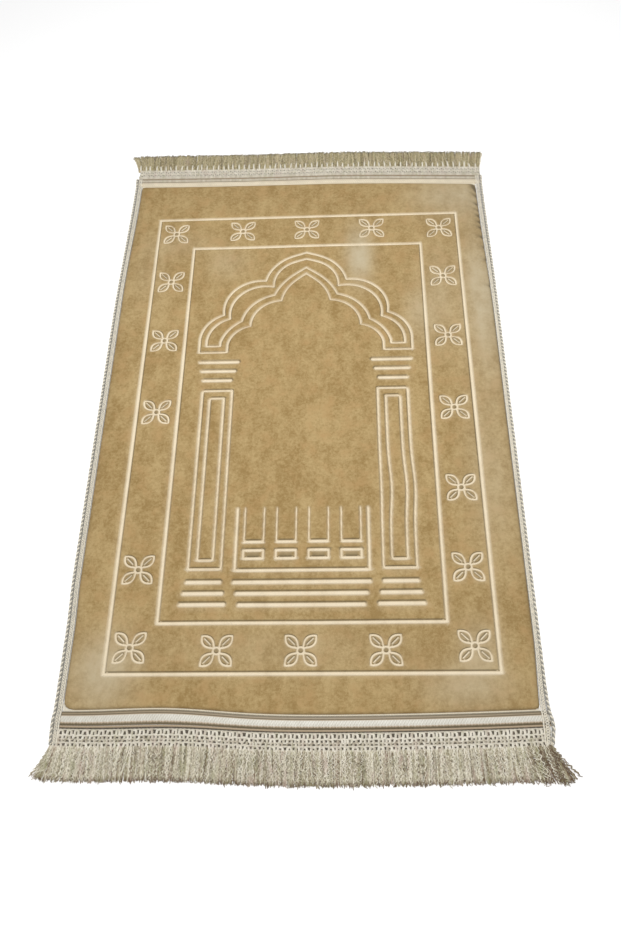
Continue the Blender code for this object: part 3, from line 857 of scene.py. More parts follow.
def groove_line(groove, step):
    """A groove's centre line, with the ripple that crosses the right column."""
    line = resampled(groove.points, groove.closed, step)
    middle = sum(RIPPLE_X) / 2
    window = eased(2 - 2 * abs(line[:, 0] - middle) / (RIPPLE_X[1] - middle))
    line[:, 0] += RIPPLE * window * np.exp(-((line[:, 1] - RIPPLE_Y) / RIPPLE_REACH) ** 2)
    return line


def cap(end, before, distance):
    """Points round the open end of a line."""
    out = (end - before) / np.linalg.norm(end - before)
    turns = np.pi * ((np.arange(CAP_TURNS) + 0.5) / CAP_TURNS - 0.5)
    side = np.array([-out[1], out[0]])
    return end + distance * (np.outer(np.cos(turns), out) + np.outer(np.sin(turns), side))


def inward(pucker):
    """The way that a crease runs, from the right edge into the velvet."""
    lean = math.radians(pucker.lean)
    return np.array([-math.cos(lean), math.sin(lean)])


def pucker_line(pucker):
    """Plan points along a crease, from the edge inward."""
    start = np.array((edge_x(RIGHT, pucker.y), pucker.y))
    return start + np.outer(np.arange(PUCKER_START, pucker.reach, PUCKER_STEP), inward(pucker))


def pile_points(grooves):
    """Plan points of the velvet: rows along every groove and edge, and a grid between them."""
    rows = []
    for groove in grooves:
        centre = groove_line(groove, ROW_STEP)
        rows.append(centre)
        for distance in np.array(ROW_SHARES) * groove.half_width:
            rows += [offset(centre, side * distance, groove.closed) for side in SIDES]
            if not groove.closed:
                rows += [cap(centre[0], centre[1], distance), cap(centre[-1], centre[-2], distance)]
    rows += [offset(pucker_line(pucker), share * pucker.half_width, False)
             for pucker in PUCKERS for share in PUCKER_ROWS]
    outline = plan_array(OUTLINE)
    rows += [offset(outline, distance, True) for distance in EDGE_ROWS]
    ys = np.arange(VELVET_NEAR, VELVET_FAR, PILE_GRID)
    xs = np.arange(VELVET_LEFT, VELVET_RIGHT, PILE_GRID)
    grid = np.array([(x + (j % 2) * PILE_GRID / 2, y) for j, y in enumerate(ys) for x in xs])
    line_points = np.concatenate(rows)
    clear = nearest(grid, np.concatenate([line_points, outline]))[0] > PILE_GRID * GRID_CLEAR
    return np.concatenate([line_points, grid[clear]])


def inside_outline(points):
    """Which plan points lie on the panel, a hair in from its outline."""
    x, y = points[:, 0], points[:, 1]
    across = (x > edge_x(LEFT, y) + OUTLINE_MARGIN) & (x < edge_x(RIGHT, y) - OUTLINE_MARGIN)
    return across & (y > edge_y(NEAR, x) + OUTLINE_MARGIN) & (y < edge_y(FAR, x) - OUTLINE_MARGIN)


def faded(distance, start, reach):
    """1 up to a start, easing to 0 over the reach beyond it."""
    return 1 - eased((distance - start) / reach)


def puckering(points):
    """Depth of the small creases that the right braid draws into the velvet."""
    depth = np.zeros(len(points))
    for pucker in PUCKERS:
        way = inward(pucker)
        away = points - (edge_x(RIGHT, pucker.y), pucker.y)
        along = away @ way
        aside = away @ np.array([way[1], -way[0]])
        beyond = np.maximum(along, 0) / pucker.reach
        width = pucker.half_width * (1 + beyond)
        crease = np.exp(-beyond / PUCKER_FADE) * np.exp(-(aside / width) ** 2)
        depth += pucker.depth * crease * (along > -PUCKER_BACK)
    return depth


def pile_height(points, groove_share, groove_width, edge_distance, sizes):
    """Height of the plush: a rolled edge, a swell, small lumps, puckers and pressed lines."""
    x, y = points[:, 0], points[:, 1]
    roll = np.clip(edge_distance / PILE_ROLL, 0, 1)
    swell = np.sin(2 * np.pi * x / SWELL_LENGTH + SWELL_PHASE) * np.sin(2 * np.pi * y / SWELL_LENGTH)
    lumps = np.array([noise.noise((px, py, 0)) for px, py in points / PILE_LUMP_SIZE])
    crown = sizes.pile_top - PILE_EDGE + PILE_SWELL * swell + PILE_LUMP * lumps
    height = PILE_EDGE + crown * np.sqrt(1 - (1 - roll) ** 2)
    depth = np.minimum(sizes.groove_depth, DEPTH_SHARE * groove_width)
    shoulder = 1 - eased(groove_share / LIT_FADE)
    height -= depth * (WALL_SHARE * faded(groove_share, *GROOVE_WALL) + (1 - WALL_SHARE) * shoulder)
    return np.maximum(height - puckering(points), PILE_EDGE * LEAST_PILE)


def leaning(points, centres):
    """How far a point lies towards the light from its groove: 1 on that side, -1 on the other."""
    away = points - centres
    light = LIGHT_FOOT - points
    reach = np.linalg.norm(light, axis=1)
    length = np.maximum(np.linalg.norm(away, axis=1), MERGE)
    return (away * light).sum(axis=1) / (length * reach) * np.minimum(1, reach / LIGHT_NEAR)


def pressed_and_lit_show(share, lean, softness):
    """How cream a groove looks: its floor plus painted light on its lit wall, with a sharp edge
    towards the light and a long fade away from it.
    """
    fade = np.clip((LIT_FADE - share) / (LIT_FADE - LIT_START), 0, 1) ** LIT_POWER
    lit = fade + (faded(share, *SHARP_EDGE) - fade) * np.clip(lean * LEAN_GAIN, 0, 1)
    haze = np.exp(-(share / HAZE_REACH) ** 2)
    side_on = 1 - abs(lean)
    return (1 - softness * side_on) * (lit + (haze - lit) * side_on ** 2)


def run_out(points):
    """How far the open tops of the base's lines have run out into the pile."""
    x, y = points[:, 0], points[:, 1]
    inside = (abs(x) < BOX_HALF_WIDTH + RUN_OUT_MARGIN) & (y < BOX_TOP + RUN_OUT_MARGIN)
    return RUN_OUT * inside * eased((y - BOX_TOP + RUN_OUT_START) / RUN_OUT_REACH)


def brushed(points):
    """Where the pile is brushed the other way and looks paler, with a faint strip of painted light
    over the near end.
    """
    total = np.zeros(len(points))
    for patch in BRUSHED_AND_LIT_PATCHES:
        away = ((points[:, 0] - patch.x) / patch.half_width) ** 2
        away += ((points[:, 1] - patch.y) / patch.half_length) ** 2
        total += patch.strength * np.exp(-away)
    return np.clip(total, 0, 1)


def parted(points, share, lean, edge_distance):
    """Painted shade on the pile: beside each groove on its side towards the light, where its wall
    faces away from the lamp, in the creases and at the rim.
    """
    beside = np.exp(-((share - BESIDE) / BESIDE_REACH) ** 2)
    beside = beside * np.clip(BESIDE_LEAST + BESIDE_GAIN * lean, 0, 1)
    creased = np.clip(puckering(points) / DARK_CREASE, 0, 1)
    x, y = points[:, 0], points[:, 1]
    side_distance = np.minimum(x - edge_x(LEFT, y), edge_x(RIGHT, y) - x)
    rim = SIDE_DARK * np.exp(-(side_distance / DARK_EDGE) ** 2)
    rim = rim + SIDE_SHADE * np.exp(-(side_distance / DARK_SIDE) ** 2)
    rim = rim + RIM_DARK * np.exp(-(edge_distance / DARK_EDGE) ** 2)
    return np.clip(beside + creased + rim, 0, 1)


def flower_hearts():
    """The eyes of the flowers, and points down the middle of their petals."""
    hearts = []
    for centre in flower_centres():
        hearts.append(centre)
        for angle in PETAL_ANGLES:
            hearts += [centre + direction(angle) * FLOWER_REACH * share for share in HEART_SHARES]
    return hearts


def shaded(points):
    """Painted shade inside the flowers' petals and eyes, and inside the windows."""
    flowers = faded(nearest(points, flower_hearts())[0], *HEART_SHADE)
    aside = np.min([abs(points[:, 0] - middle) for middle in NICHE_MIDDLES], axis=0)
    above = abs(points[:, 1] - WINDOW_BOTTOM - WINDOW_SHADE_RISE)
    return np.maximum(flowers, faded(aside, *WINDOW_SHADE_X) * faded(above, *WINDOW_SHADE_Y))


def pile_look(points, grooves, sizes):
    """How high the pile stands at every point, and how it shows there."""
    lines = [groove_line(groove, LINE_SAMPLE) for groove in grooves]
    counts = [len(line) for line in lines]
    widths = np.repeat([groove.half_width for groove in grooves], counts)
    softness = np.repeat([groove.softness for groove in grooves], counts)
    centres = np.concatenate(lines)
    distance, index = nearest(points, centres)
    thinner = 1 + FAR_THIN * eased((points[:, 1] - FAR_THIN_START) / (VELVET_FAR - FAR_THIN_START))
    share = thinner * distance / widths[index] + run_out(points)
    lean = leaning(points, centres[index])
    edge_distance = nearest(points, resampled(OUTLINE, True, LINE_SAMPLE))[0]
    shows = {
        "pressed": pressed_and_lit_show(share, lean, softness[index]),
        "parted": parted(points, share, lean, edge_distance),
        "brushed": brushed(points),
        "shaded": shaded(points),
    }
    return pile_height(points, share, widths[index], edge_distance, sizes), shows


def velvet_piece(sizes):
    """The plush panel as one closed body."""
    grooves = pattern()
    plan = pile_points(grooves)
    plan = plan[inside_outline(plan)]
    rim = len(OUTLINE)
    loop = [(i, (i + 1) % rim) for i in range(rim)]
    points = OUTLINE + [Vector(point) for point in plan]
    flat, _, faces, sources, _, _ = delaunay_2d_cdt(points, loop, [], INSIDE, MERGE)
    made = {source: index for index, group in enumerate(sources) for source in group}
    flat = plan_array(flat)
    heights, shows = pile_look(flat, grooves, sizes)
    tops = np.column_stack([flat, heights])
    low = np.column_stack([plan_array(OUTLINE), np.zeros(rim)])
    below = [len(tops) + i for i in range(rim)]
    under = delaunay_2d_cdt(OUTLINE, loop, [], INSIDE, MERGE)
    floor = [[below[under[3][i][0]] for i in reversed(face)] for face in under[2]]
    walls = [(below[i], below[j], made[j], made[i]) for i, j in loop]
    # The panel's side walls get painted shade too.
    values = {key: np.concatenate([number, np.full(rim, WALL_DARK * (key == "parted"))])
              for key, number in shows.items()}
    return mesh_object("velvet_pile", np.concatenate([tops, low]), faces + floor + walls, values)


# ---------------------------------------------------------------- trims

BRAID_STEP = 2.1 * MM
BRAID_BACK = 1.3 * MM
BACK_SHARES = (0.12, 0.34, 0.56, 0.78)
BACK_TONE = 0.25
SPECK_SIZE = 2.6 * MM
CHAIN_SHARE = 0.12
CHAIN_YARN = 1.0 * MM
CHAIN_RIPPLE = 0.3 * MM
CHAIN_TONE = 0.97
CROSS_SHARES = (0.24, 0.60)
CROSS_YARN = 0.7 * MM
CROSS_HEIGHT = 2.5 * MM
CROSS_WAVE = 0.6 * MM
CROSS_TONE = 0.95
ROPE_PLY = 1.3 * MM
ROPE_TURN = 1.1 * MM
ROPE_NOTCH = 0.5 * MM
ROPE_STEP = 1.6 * MM
ROPE_HEIGHT = 2.7 * MM
# The outer rope's plies: the dark one is painted shade in the rope's twist, the other cream.
ROPE_TONES = (0.2, 0.98)
FILL_YARN = 0.95 * MM
FILL_STEPS = 5
FILL_TONE = 0.85
WRAP_ENDS = {NEAR: 49 * MM, FAR: 23 * MM}
WRAP_FOLDS = in_mm(Fold, (0, 0), (6, 0.8), (10, 2.2), (18, 2.2), (24, 0.9), (42, 1.2), (50, 0.2))
WRAP_MIDDLE = 24 * MM
WRAP_REACH = 15 * MM
WRAP_BULGES = {
    (LEFT, NEAR): 1.2 * MM,
    (RIGHT, NEAR): 3.6 * MM,
    (LEFT, FAR): 0.6 * MM,
    (RIGHT, FAR): 0.8 * MM,
}


def braid_line(side, y, share, height):
    """A line along a side braid at a share of its width, climbing over the ends of the trims."""
    inner = edge_x(side, y) + side * GAP
    outer = side_x(side, BRAID_SIDES, y)
    lift = 0
    for end in ENDS:
        away = end * (y - edge_y(end, inner))
        lift = lift + np.interp(away, *zip(*WRAP_FOLDS))
        bulge = WRAP_BULGES[side, end] * np.exp(-((away - WRAP_MIDDLE) / WRAP_REACH) ** 2)
        outer = outer + side * bulge
    return np.stack([inner + (outer - inner) * share, y, height + lift], axis=-1)


def corner_fill(bundle, side):
    """Short stitches that fill the notch between the panel's round corners and its trims."""
    for corner in CORNERS:
        if corner.side != side:
            continue
        tip = velvet_corner(corner)
        for inward in np.arange(FILL_YARN, 0.7 * corner.radius, 1.8 * FILL_YARN):
            reach = corner.radius * (1 - math.sqrt(inward / corner.radius)) ** 2
            x = tip.x - side * inward
            y = edge_y(corner.end, x) + corner.end * np.linspace(2 * MM, -reach, FILL_STEPS)
            height = np.linspace(1.1 * FILL_YARN, 2.2 * FILL_YARN, FILL_STEPS)
            line = np.stack([np.full(FILL_STEPS, x), y, height], axis=-1)
            bundle.sweep(line[None], FILL_YARN, lobe=0.12, tone=FILL_TONE)


def braid_piece(side):
    """A looped braid on a cord backing: a chain, crossing yarns and a two-ply outer rope whose dark
    ply is painted shade.
    """
    low = edge_y(NEAR, edge_x(side, VELVET_NEAR)) - WRAP_ENDS[NEAR]
    high = edge_y(FAR, edge_x(side, VELVET_FAR)) + WRAP_ENDS[FAR]
    y = spaced(low, high, BRAID_STEP)
    bundle = Bundle()
    for share in BACK_SHARES:
        bundle.sweep(braid_line(side, y[::4], share, BRAID_BACK)[None], BRAID_BACK, sides=5,
                     tone=BACK_TONE)
    specks = np.array([noise.noise((value / SPECK_SIZE, side, 0)) for value in y])
    height = CROSS_HEIGHT + CHAIN_RIPPLE * np.sin(2 * np.pi * y / BRAID_PITCH)
    bundle.sweep(braid_line(side, y, CHAIN_SHARE, height)[None], CHAIN_YARN, lobe=0.35,
                 pitch=BRAID_PITCH, tone=(CHAIN_TONE + 0.5 * specks)[None])
    centre, sway = sum(CROSS_SHARES) / 2, (CROSS_SHARES[1] - CROSS_SHARES[0]) / 2
    for strand in SIDES:
        for twin in SIDES:
            turn = 2 * np.pi * (y + 0.55 * twin * CROSS_YARN) / BRAID_PITCH
            share = centre + strand * sway * np.sin(turn)
            height = CROSS_HEIGHT + CROSS_WAVE * strand * np.cos(turn)
            tone = CROSS_TONE + 0.08 * twin - strand * specks
            line = braid_line(side, y, share, height)
            bundle.sweep(line[None], CROSS_YARN, sides=4, tone=tone[None])
    y = spaced(low, high, ROPE_STEP)
    width = abs(side_x(side, BRAID_SIDES, y) - edge_x(side, y)) - GAP
    middle = 1 - (ROPE_PLY + ROPE_TURN * 0.6) / width
    for ply, tone in enumerate(ROPE_TONES):
        turn = 2 * np.pi * (y / BRAID_PITCH + ply / 2)
        share = middle + (ROPE_TURN * np.cos(turn) + ROPE_NOTCH * ply) / width
        line = braid_line(side, y, share, ROPE_HEIGHT + ROPE_TURN * np.sin(turn))
        bundle.sweep(line[None], ROPE_PLY, lobe=0.12, plies=3, tone=tone)
    corner_fill(bundle, side)
    return bundle.piece("edge_braid_" + SIDES[side])


NEAR_GIVE = 3.6 * MM
NEAR_GIVE_X = -222 * MM
NEAR_GIVE_HALF_WIDTH = 105 * MM
NEAR_GIVE_START = 8 * MM
NEAR_GIVE_REACH = 22 * MM
END_CORD_STEP = 1.7 * MM
CORD_LIE = 1.1
PIPING_SIZES = {NEAR: 0.9 * MM, FAR: PIPING_RADIUS}
PIPING_TONE = 0.95
PIPING_PITCH = 6.5 * MM
THIN_CORD_TONES = {NEAR: 0.75, FAR: 0.42}
THIN_CORD_PITCH = 6 * MM


def trim_span(end):
    """The two x values between which an end's trims run."""
    y = edge_y(end, 0)
    return edge_x(LEFT, y) - TRIM_OVERHANG, edge_x(RIGHT, y) + TRIM_OVERHANG


def trim_y(end, x, distance):
    """Where a line of the trims lies; they are fuller over the dent in the near end."""
    give = (end == NEAR) * NEAR_GIVE * np.exp(-((x - NEAR_GIVE_X) / NEAR_GIVE_HALF_WIDTH) ** 2)
    give = give * eased((distance - NEAR_GIVE_START) / NEAR_GIVE_REACH)
    return edge_y(end, x) + end * (distance + give)


def end_line(end, xs, distance, height):
    """A line across the rug at a distance outward from the velvet's end."""
    z = np.broadcast_to(height, np.shape(xs))
    return np.stack([xs, trim_y(end, xs, distance), z], axis=-1)


def cord_piece(name, end, distance, radius, span, tone, pitch):
    """A thin two-ply cord along the rug's end."""
    xs = spaced(*span, END_CORD_STEP)
    bundle = Bundle()
    line = end_line(end, xs, distance, CORD_LIE * radius)
    bundle.sweep(line[None], radius * 0.96, sides=8, lobe=0.12, pitch=pitch, tone=tone)
    return bundle.piece(name)


TAPE_STEP = 1.8 * MM
TAPE_GRAIN = 0.6 * MM
TWILL_PITCH = 4.4 * MM
TWILL_LEAN = 0.7
TWILL_RISE = 0.12 * MM
# Across the tape: 1 where the satin shows, 0 on its dark lips, which are painted shadow in the gaps
# beside it.
Band = namedtuple("Band", "distance shine")
TAPE_BANDS = {
    NEAR: in_mm(Band, (4.8, 0), (5.6, 0.4), (6.3, 0), (7.7, 0), (8.6, 0.62), (9.6, 1), (18.2, 1),
                (19.6, 0), plain=("shine",)),
    FAR: in_mm(Band, (3.8, 0.8), (4.6, 1), (13.4, 1), (14.8, 0.25), plain=("shine",)),
}
SERRATION = 1.5 * MM
SERRATION_START = 0.8
TAPE_SWELL = 0.25 * MM
SWELL_WAVES = (23 * MM, 61 * MM)
CROWN_START = 1.5 * MM
CROWN_RISE = 1.1 * MM


def tape_piece(end):
    """A satin tape with a padded, twilled middle and a flat lip on both sides."""
    xs = spaced(*trim_span(end), TAPE_STEP)
    folds = TAPE_FOLDS[end]
    distances = np.concatenate([spaced(a.distance, b.distance, TAPE_GRAIN)[:-1]
                                for a, b in zip(folds, folds[1:])])
    distances = np.append(distances, folds[-1].distance)
    heights = np.interp(distances, *zip(*folds))
    swell = TAPE_SWELL * np.sin(xs / SWELL_WAVES[0]) * np.sin(xs / SWELL_WAVES[1] + 2)
    rows, crowns, twills = [], [], []
    for distance, height in zip(distances, heights):
        crown = float(np.clip((height - CROWN_START) / CROWN_RISE, 0, 1))
        twill = 0.5 + 0.5 * np.sin(2 * np.pi * (xs + TWILL_LEAN * distance) / TWILL_PITCH)
        rows.append(end_line(end, xs, distance, height + (swell + TWILL_RISE * twill) * crown))
        ragged = distance + SERRATION * twill * (distance > SERRATION_START * folds[-1].distance)
        crowns.append(np.interp(ragged, *zip(*TAPE_BANDS[end])) + 0 * xs)
        twills.append(twill)
    order = slice(None, None, end)
    values = {"crown": np.array(crowns)[order], "twill": np.array(twills)[order]}
    return grid_strip("satin_tape_" + ENDS[end], rows[order], values)


HEADING_END = 53 * MM
BACKING_RADIUS = 0.9 * MM
BACKING_STEP = 8 * MM
YARN_LIE = 2.0 * MM
CROSS_RISE = 0.5 * MM
# The dark backing is painted shade seen through the holes of the crochet.
BACKING_SHADE_TONES = {NEAR: 0.07, FAR: 0.05}
HEADING_INSETS = {
    (LEFT, NEAR): 2 * MM,
    (RIGHT, NEAR): 2 * MM,
    (LEFT, FAR): 5 * MM,
    (RIGHT, FAR): 2 * MM,
}
Row = namedtuple("Row", "start end pitch radius tone")
BAR_ROWS = {
    NEAR: in_mm(Row, (28.0, 34.2, 5.8, 1.6, 0.92), (35.6, 40.4, 5.8, 1.55, 0.80),
                (40.2, 44.2, 5.8, 1.5, 0.66), (46.2, 51.4, 5.8, 1.6, 0.86), plain=("tone",)),
    FAR: in_mm(Row, (33.2, 36.0, 3.9, 1.2, 0.82), (41.2, 44.0, 3.9, 1.2, 0.86), plain=("tone",)),
}
PLAIT_ROWS = {
    NEAR: (),
    FAR: in_mm(Row, (15.0, 21.8, 8.5, 1.2, 0.64), (24.8, 33.0, 8.5, 1.4, 0.70),
               (36.4, 41.0, 8.0, 1.0, 0.76), (44.4, 50.2, 8.5, 1.15, 0.78), plain=("tone",)),
}
PLAIT_PHASES = (0, 2 * np.pi / 3, 4 * np.pi / 3)
CordRow = namedtuple("CordRow", "distance radius tone")
HEADING_CORDS = {
    NEAR: in_mm(CordRow, (27.0, 1.0, 0.72), (34.9, 1.1, 0.92), (45.0, 1.2, 0.84), plain=("tone",)),
    FAR: in_mm(CordRow, (24.6, 0.7, 0.4), plain=("tone",)),
}
CORD_STEP = 1.9 * MM
CORD_PITCH = 5.6 * MM
PLAIT_STEP = 1.5 * MM
PLAIT_PITCH = 3.7 * MM
PLAIT_RISE = 0.2 * MM
LOOP_STEP = 1.15 * MM
LOOP_PITCH = 4.3 * MM
LOOP_WANDER = 16 * MM
LOOP_LEAN = 0.159
LOOP_SQUARE = 1.9
TWIN_SHORT = 0.4 * MM
TWIN_RISE = 0.15 * MM
TWIN_TONE = 0.08


def wandering(xs, size, seed):
    """Small slow shifts along a row of hand-made stitches."""
    return np.array([noise.noise((x / size, seed, 0)) for x in xs])


def bar_row(bundle, end, xs, row):
    """A yarn that runs up and down in square loops, a neighbour yarn beside it."""
    middle, reach = (row.start + row.end) / 2, (row.end - row.start) / 2
    shift = 0.6 * row.pitch * wandering(xs, LOOP_WANDER, row.start / MM)
    level = row.tone + 0.5 * wandering(xs, 4 * MM, row.end / MM)
    swing = np.pi * xs / row.pitch
    for twin in SIDES:
        x = xs - LOOP_LEAN * row.pitch * np.sin(2 * swing) + shift + twin * 0.5 * row.radius
        square = np.clip(LOOP_SQUARE * np.sin(swing), -1, 1)
        distance = middle + (reach - twin * TWIN_SHORT) * square
        height = YARN_LIE + CROSS_RISE * np.cos(2 * swing) + TWIN_RISE * twin
        bundle.sweep(end_line(end, x, distance, height)[None], 0.7 * row.radius, sides=5, lobe=0.15,
                     pitch=LOOP_PITCH, tone=(level - TWIN_TONE * twin)[None])


def plait_row(bundle, end, xs, row):
    """Three yarns plaited along the heading."""
    middle, reach = (row.start + row.end) / 2, (row.end - row.start) / 2 - 0.8 * row.radius
    level = row.tone + 0.22 * wandering(xs, 5 * MM, row.start / MM)
    for phase in PLAIT_PHASES:
        swing = 2 * np.pi * xs / row.pitch + phase
        height = YARN_LIE + PLAIT_RISE + CROSS_RISE * np.sin(2 * swing)
        line = end_line(end, xs, middle + reach * np.sin(swing), height)
        bundle.sweep(line[None], row.radius, sides=5, lobe=0.2, pitch=PLAIT_PITCH, tone=level[None])


def heading_piece(end):
    """The crocheted heading: rows of bars, plaits and cords on a dark corded backing, which is painted
    shade in the holes between them.
    """
    low, high = trim_span(end)
    bundle = Bundle()
    low, high = low + HEADING_INSETS[LEFT, end], high - HEADING_INSETS[RIGHT, end]
    coarse = spaced(low, high, BACKING_STEP)
    first = HEADING_START - 0.5 * BACKING_RADIUS
    for distance in np.arange(first, HEADING_END, 1.7 * BACKING_RADIUS):
        bundle.sweep(end_line(end, coarse, distance, BACKING_RADIUS)[None], BACKING_RADIUS, sides=4,
                     flat=0.8, tone=BACKING_SHADE_TONES[end])
    for row in BAR_ROWS[end]:
        bar_row(bundle, end, spaced(low, high, LOOP_STEP), row)
    for row in PLAIT_ROWS[end]:
        plait_row(bundle, end, spaced(low, high, PLAIT_STEP), row)
    for cord in HEADING_CORDS[end]:
        line = end_line(end, spaced(low, high, CORD_STEP), cord.distance, YARN_LIE)
        bundle.sweep(line[None], cord.radius, lobe=0.3, pitch=CORD_PITCH, tone=cord.tone)
    return bundle.piece("lace_heading_" + ENDS[end])


# ---------------------------------------------------------------- fringe

YARN_STEPS = {NEAR: 25, FAR: 21}
YARN_SIDES = 4
YARN_RADIUS = 0.78 * MM
YARN_TAPER = ((0, 0.85, 1), (1, 1, 0.6))
YARN_ROOTS = {NEAR: 49.5 * MM, FAR: FRINGE_START}
ROOT_SAMPLES = 600
LENGTH_SPREAD = 1.5 * MM
LEAN_BEND = 1.3
LEAN_LIMIT = 0.65
STRAY_LEAN = 8 * MM
HEAP = 1.7 * MM
KINK = 0.8 * MM
KINK_SPREAD = 0.3 * MM
KINK_LENGTHS = (5 * MM, 10 * MM)
KINK_STRENGTHS = (1, 0.6)
CLUMP_PITCH = 10.7 * MM
CLUMP_SPREAD = 1.2 * MM
Layer = namedtuple("Layer", "name share thick lift lean pull jitter kink strays tone seed")
# The under layer's lower tone is painted shade beneath the upper yarns.
LAYERS = (
    Layer("under", share=0.46, thick=1.22, lift=0, lean=0.3 * MM, pull=0.02, jitter=0.2 * MM,
          kink=0.3, strays=0, tone=0.37, seed=3),
    Layer("upper", share=0.54, thick=1.0, lift=1.2 * MM, lean=4.7 * MM, pull=0.13, jitter=0.8 * MM,
          kink=1.75, strays=0.06, tone=0.68, seed=8),
)
TONE_SPREAD = 0.22
TONE_SPECKS = 0.17
ROOT_SHADE = {NEAR: -0.1, FAR: 0.12}
TIP_SHADE = 0.6
TIP_FADE = 0.86

# The near right corner: longer yarns that curl and stray more, and a dark clump.
CORNER_REACH = 30 * MM
CORNER_CONTRAST = 1.4
CORNER_CURL = 0.35
CORNER_STRAY = 8 * MM
LONG_CORNER = 7 * MM
DARK_CORNER = 0.56
DARK_INSET = 15 * MM
DARK_REACH = 14 * MM

TIE_START = 49 * MM
TIE_END = 63 * MM
TIE_RADIUS = 1.6 * MM
TIE_STEPS = 10
TIE_LIE = 3.0 * MM
TIE_HUMP = 1.4 * MM
TIE_DROP = 0.4 * MM
TIE_TAPER = ((0, 0.25, 0.75, 1), (0.8, 1.0, 0.7, 0.3))


def fan_out(end, x):
    """Sideways spread of a yarn's tip: yarns splay at the rug's corners."""
    spread = 0
    for side, edge in zip(SIDES, trim_span(end)):
        fan = FANS[side, end]
        spread = spread + side * fan.spread * np.exp(-abs(x - edge) / fan.reach)
    return spread


def clumped(rng, x, low, high):
    """How far each yarn is drawn towards the middle of its loose clump."""
    count = math.ceil((high - low) / CLUMP_PITCH)
    middles = low + (np.arange(count) + 0.5) * CLUMP_PITCH + rng.normal(0, CLUMP_SPREAD, count)
    pulls = rng.random(count)
    index = np.clip(((x - low) / CLUMP_PITCH).astype(int), 0, count - 1)
    return (middles[index] - x) * pulls[index]


def kinks(rng, count, reach):
    """Sideways waves of every yarn along its length, of two sizes each."""
    total = 0
    for strength in KINK_STRENGTHS:
        lengths = rng.uniform(*KINK_LENGTHS, count)[:, None] * strength
        size = abs(rng.normal(KINK, KINK_SPREAD, count))[:, None] * strength
        total = total + size * np.sin(2 * np.pi * (reach / lengths + rng.random(count)[:, None]))
    return total


def root_places(end, count):
    """Where the yarns start along the heading, closer together where they fan out."""
    low, high = trim_span(end)
    inset = YARN_RADIUS + MM
    places = np.linspace(low + inset, high - inset, ROOT_SAMPLES)
    crowd = 1
    for side, edge in zip(SIDES, (low, high)):
        fan = FANS[side, end]
        crowd = crowd + fan.spread / fan.reach * np.exp(-abs(places - edge) / fan.reach)
    filled = np.cumsum(crowd)
    return np.interp(np.linspace(filled[0], filled[-1], count), filled, places)


def near_corner(end, x, inset, reach):
    """1 at a distance in from the near right corner, and 0 away from it."""
    return (end == NEAR) * np.exp(-((x - trim_span(end)[1] + inset) / reach) ** 2)


def leans(rng, end, layer, root_x):
    """How far sideways every yarn's tip lies from its root; some stray further than the rest."""
    count = len(root_x)
    lean = rng.normal(0, layer.lean, count) + fan_out(end, root_x)
    strays = rng.random(count) < layer.strays
    lean = lean + strays * rng.normal(0, STRAY_LEAN, count)
    loose = near_corner(end, root_x, 0, CORNER_REACH) * (layer.kink > 1)
    return lean + loose * rng.normal(0, CORNER_STRAY, count)


def yarn_tones(rng, end, layer, root_x, t):
    """Tone of every yarn from its root to its tip: painted shade at the tips, roots lighter near and
    darker far, and the dark clump at the near right corner.
    """
    count = len(root_x)
    spread = TONE_SPREAD * (1 + CORNER_CONTRAST * near_corner(end, root_x, 0, CORNER_REACH))
    dark = DARK_CORNER * near_corner(end, root_x, DARK_INSET, DARK_REACH)
    tone = layer.tone + rng.normal(0, spread, count) - dark
    shade = ROOT_SHADE[end] * np.maximum(0, 1 - 3 * t)
    shade = shade + TIP_SHADE * np.maximum(0, t - TIP_FADE) / (1 - TIP_FADE)
    specks = rng.normal(0, TONE_SPECKS, (count, len(t)))
    return np.clip(tone[:, None] + specks - shade, 0, 1)


def fringe_piece(end, layer, total, hang):
    """One layer of the fringe: kinked yarns side by side, from the heading to their tips."""
    rng = np.random.default_rng(layer.seed + end)
    count = round(layer.share * total)
    root_x = root_places(end, count)
    root_x = np.clip(root_x + rng.normal(0, layer.jitter, count), root_x[0], root_x[-1])
    corner = near_corner(end, root_x, 0, CORNER_REACH)
    length = hang + FRINGE_START - YARN_ROOTS[end] + rng.normal(0, LENGTH_SPREAD, count)
    length = length + LONG_CORNER * corner
    t = np.linspace(0, 1, YARN_STEPS[end])
    reach = length[:, None] * t
    lean = leans(rng, end, layer, root_x)
    x = root_x[:, None] + lean[:, None] * t ** LEAN_BEND
    drawn = layer.pull * clumped(rng, root_x, *trim_span(end))
    x = x + drawn[:, None] * np.sin(np.pi * np.minimum(1, 1.2 * t) / 2)
    curl = layer.kink * (1 + CORNER_CURL * corner)
    x = x + curl[:, None] * kinks(rng, count, reach) * np.minimum(1, 5 * t)
    shorten = np.sqrt(1 - np.minimum(LEAN_LIMIT, abs(lean) / length) ** 2)
    y = trim_y(end, root_x[:, None], YARN_ROOTS[end] + reach * shorten[:, None])
    y = y + 0.5 * kinks(rng, count, reach) * t
    heap = layer.lift + rng.uniform(0, HEAP, count)
    mound = np.sin(np.pi * (0.16 + 0.74 * t ** 0.8)) ** 0.7
    z = layer.thick * YARN_RADIUS + heap[:, None] * mound * rng.uniform(0.8, 1.15, (count, 1))
    bundle = Bundle()
    bundle.sweep(np.stack([x, y, z], axis=-1), layer.thick * YARN_RADIUS, sides=YARN_SIDES,
                 taper=np.interp(t, *YARN_TAPER), tone=yarn_tones(rng, end, layer, root_x, t))
    return bundle.piece("fringe_%s_%s" % (layer.name, ENDS[end]))


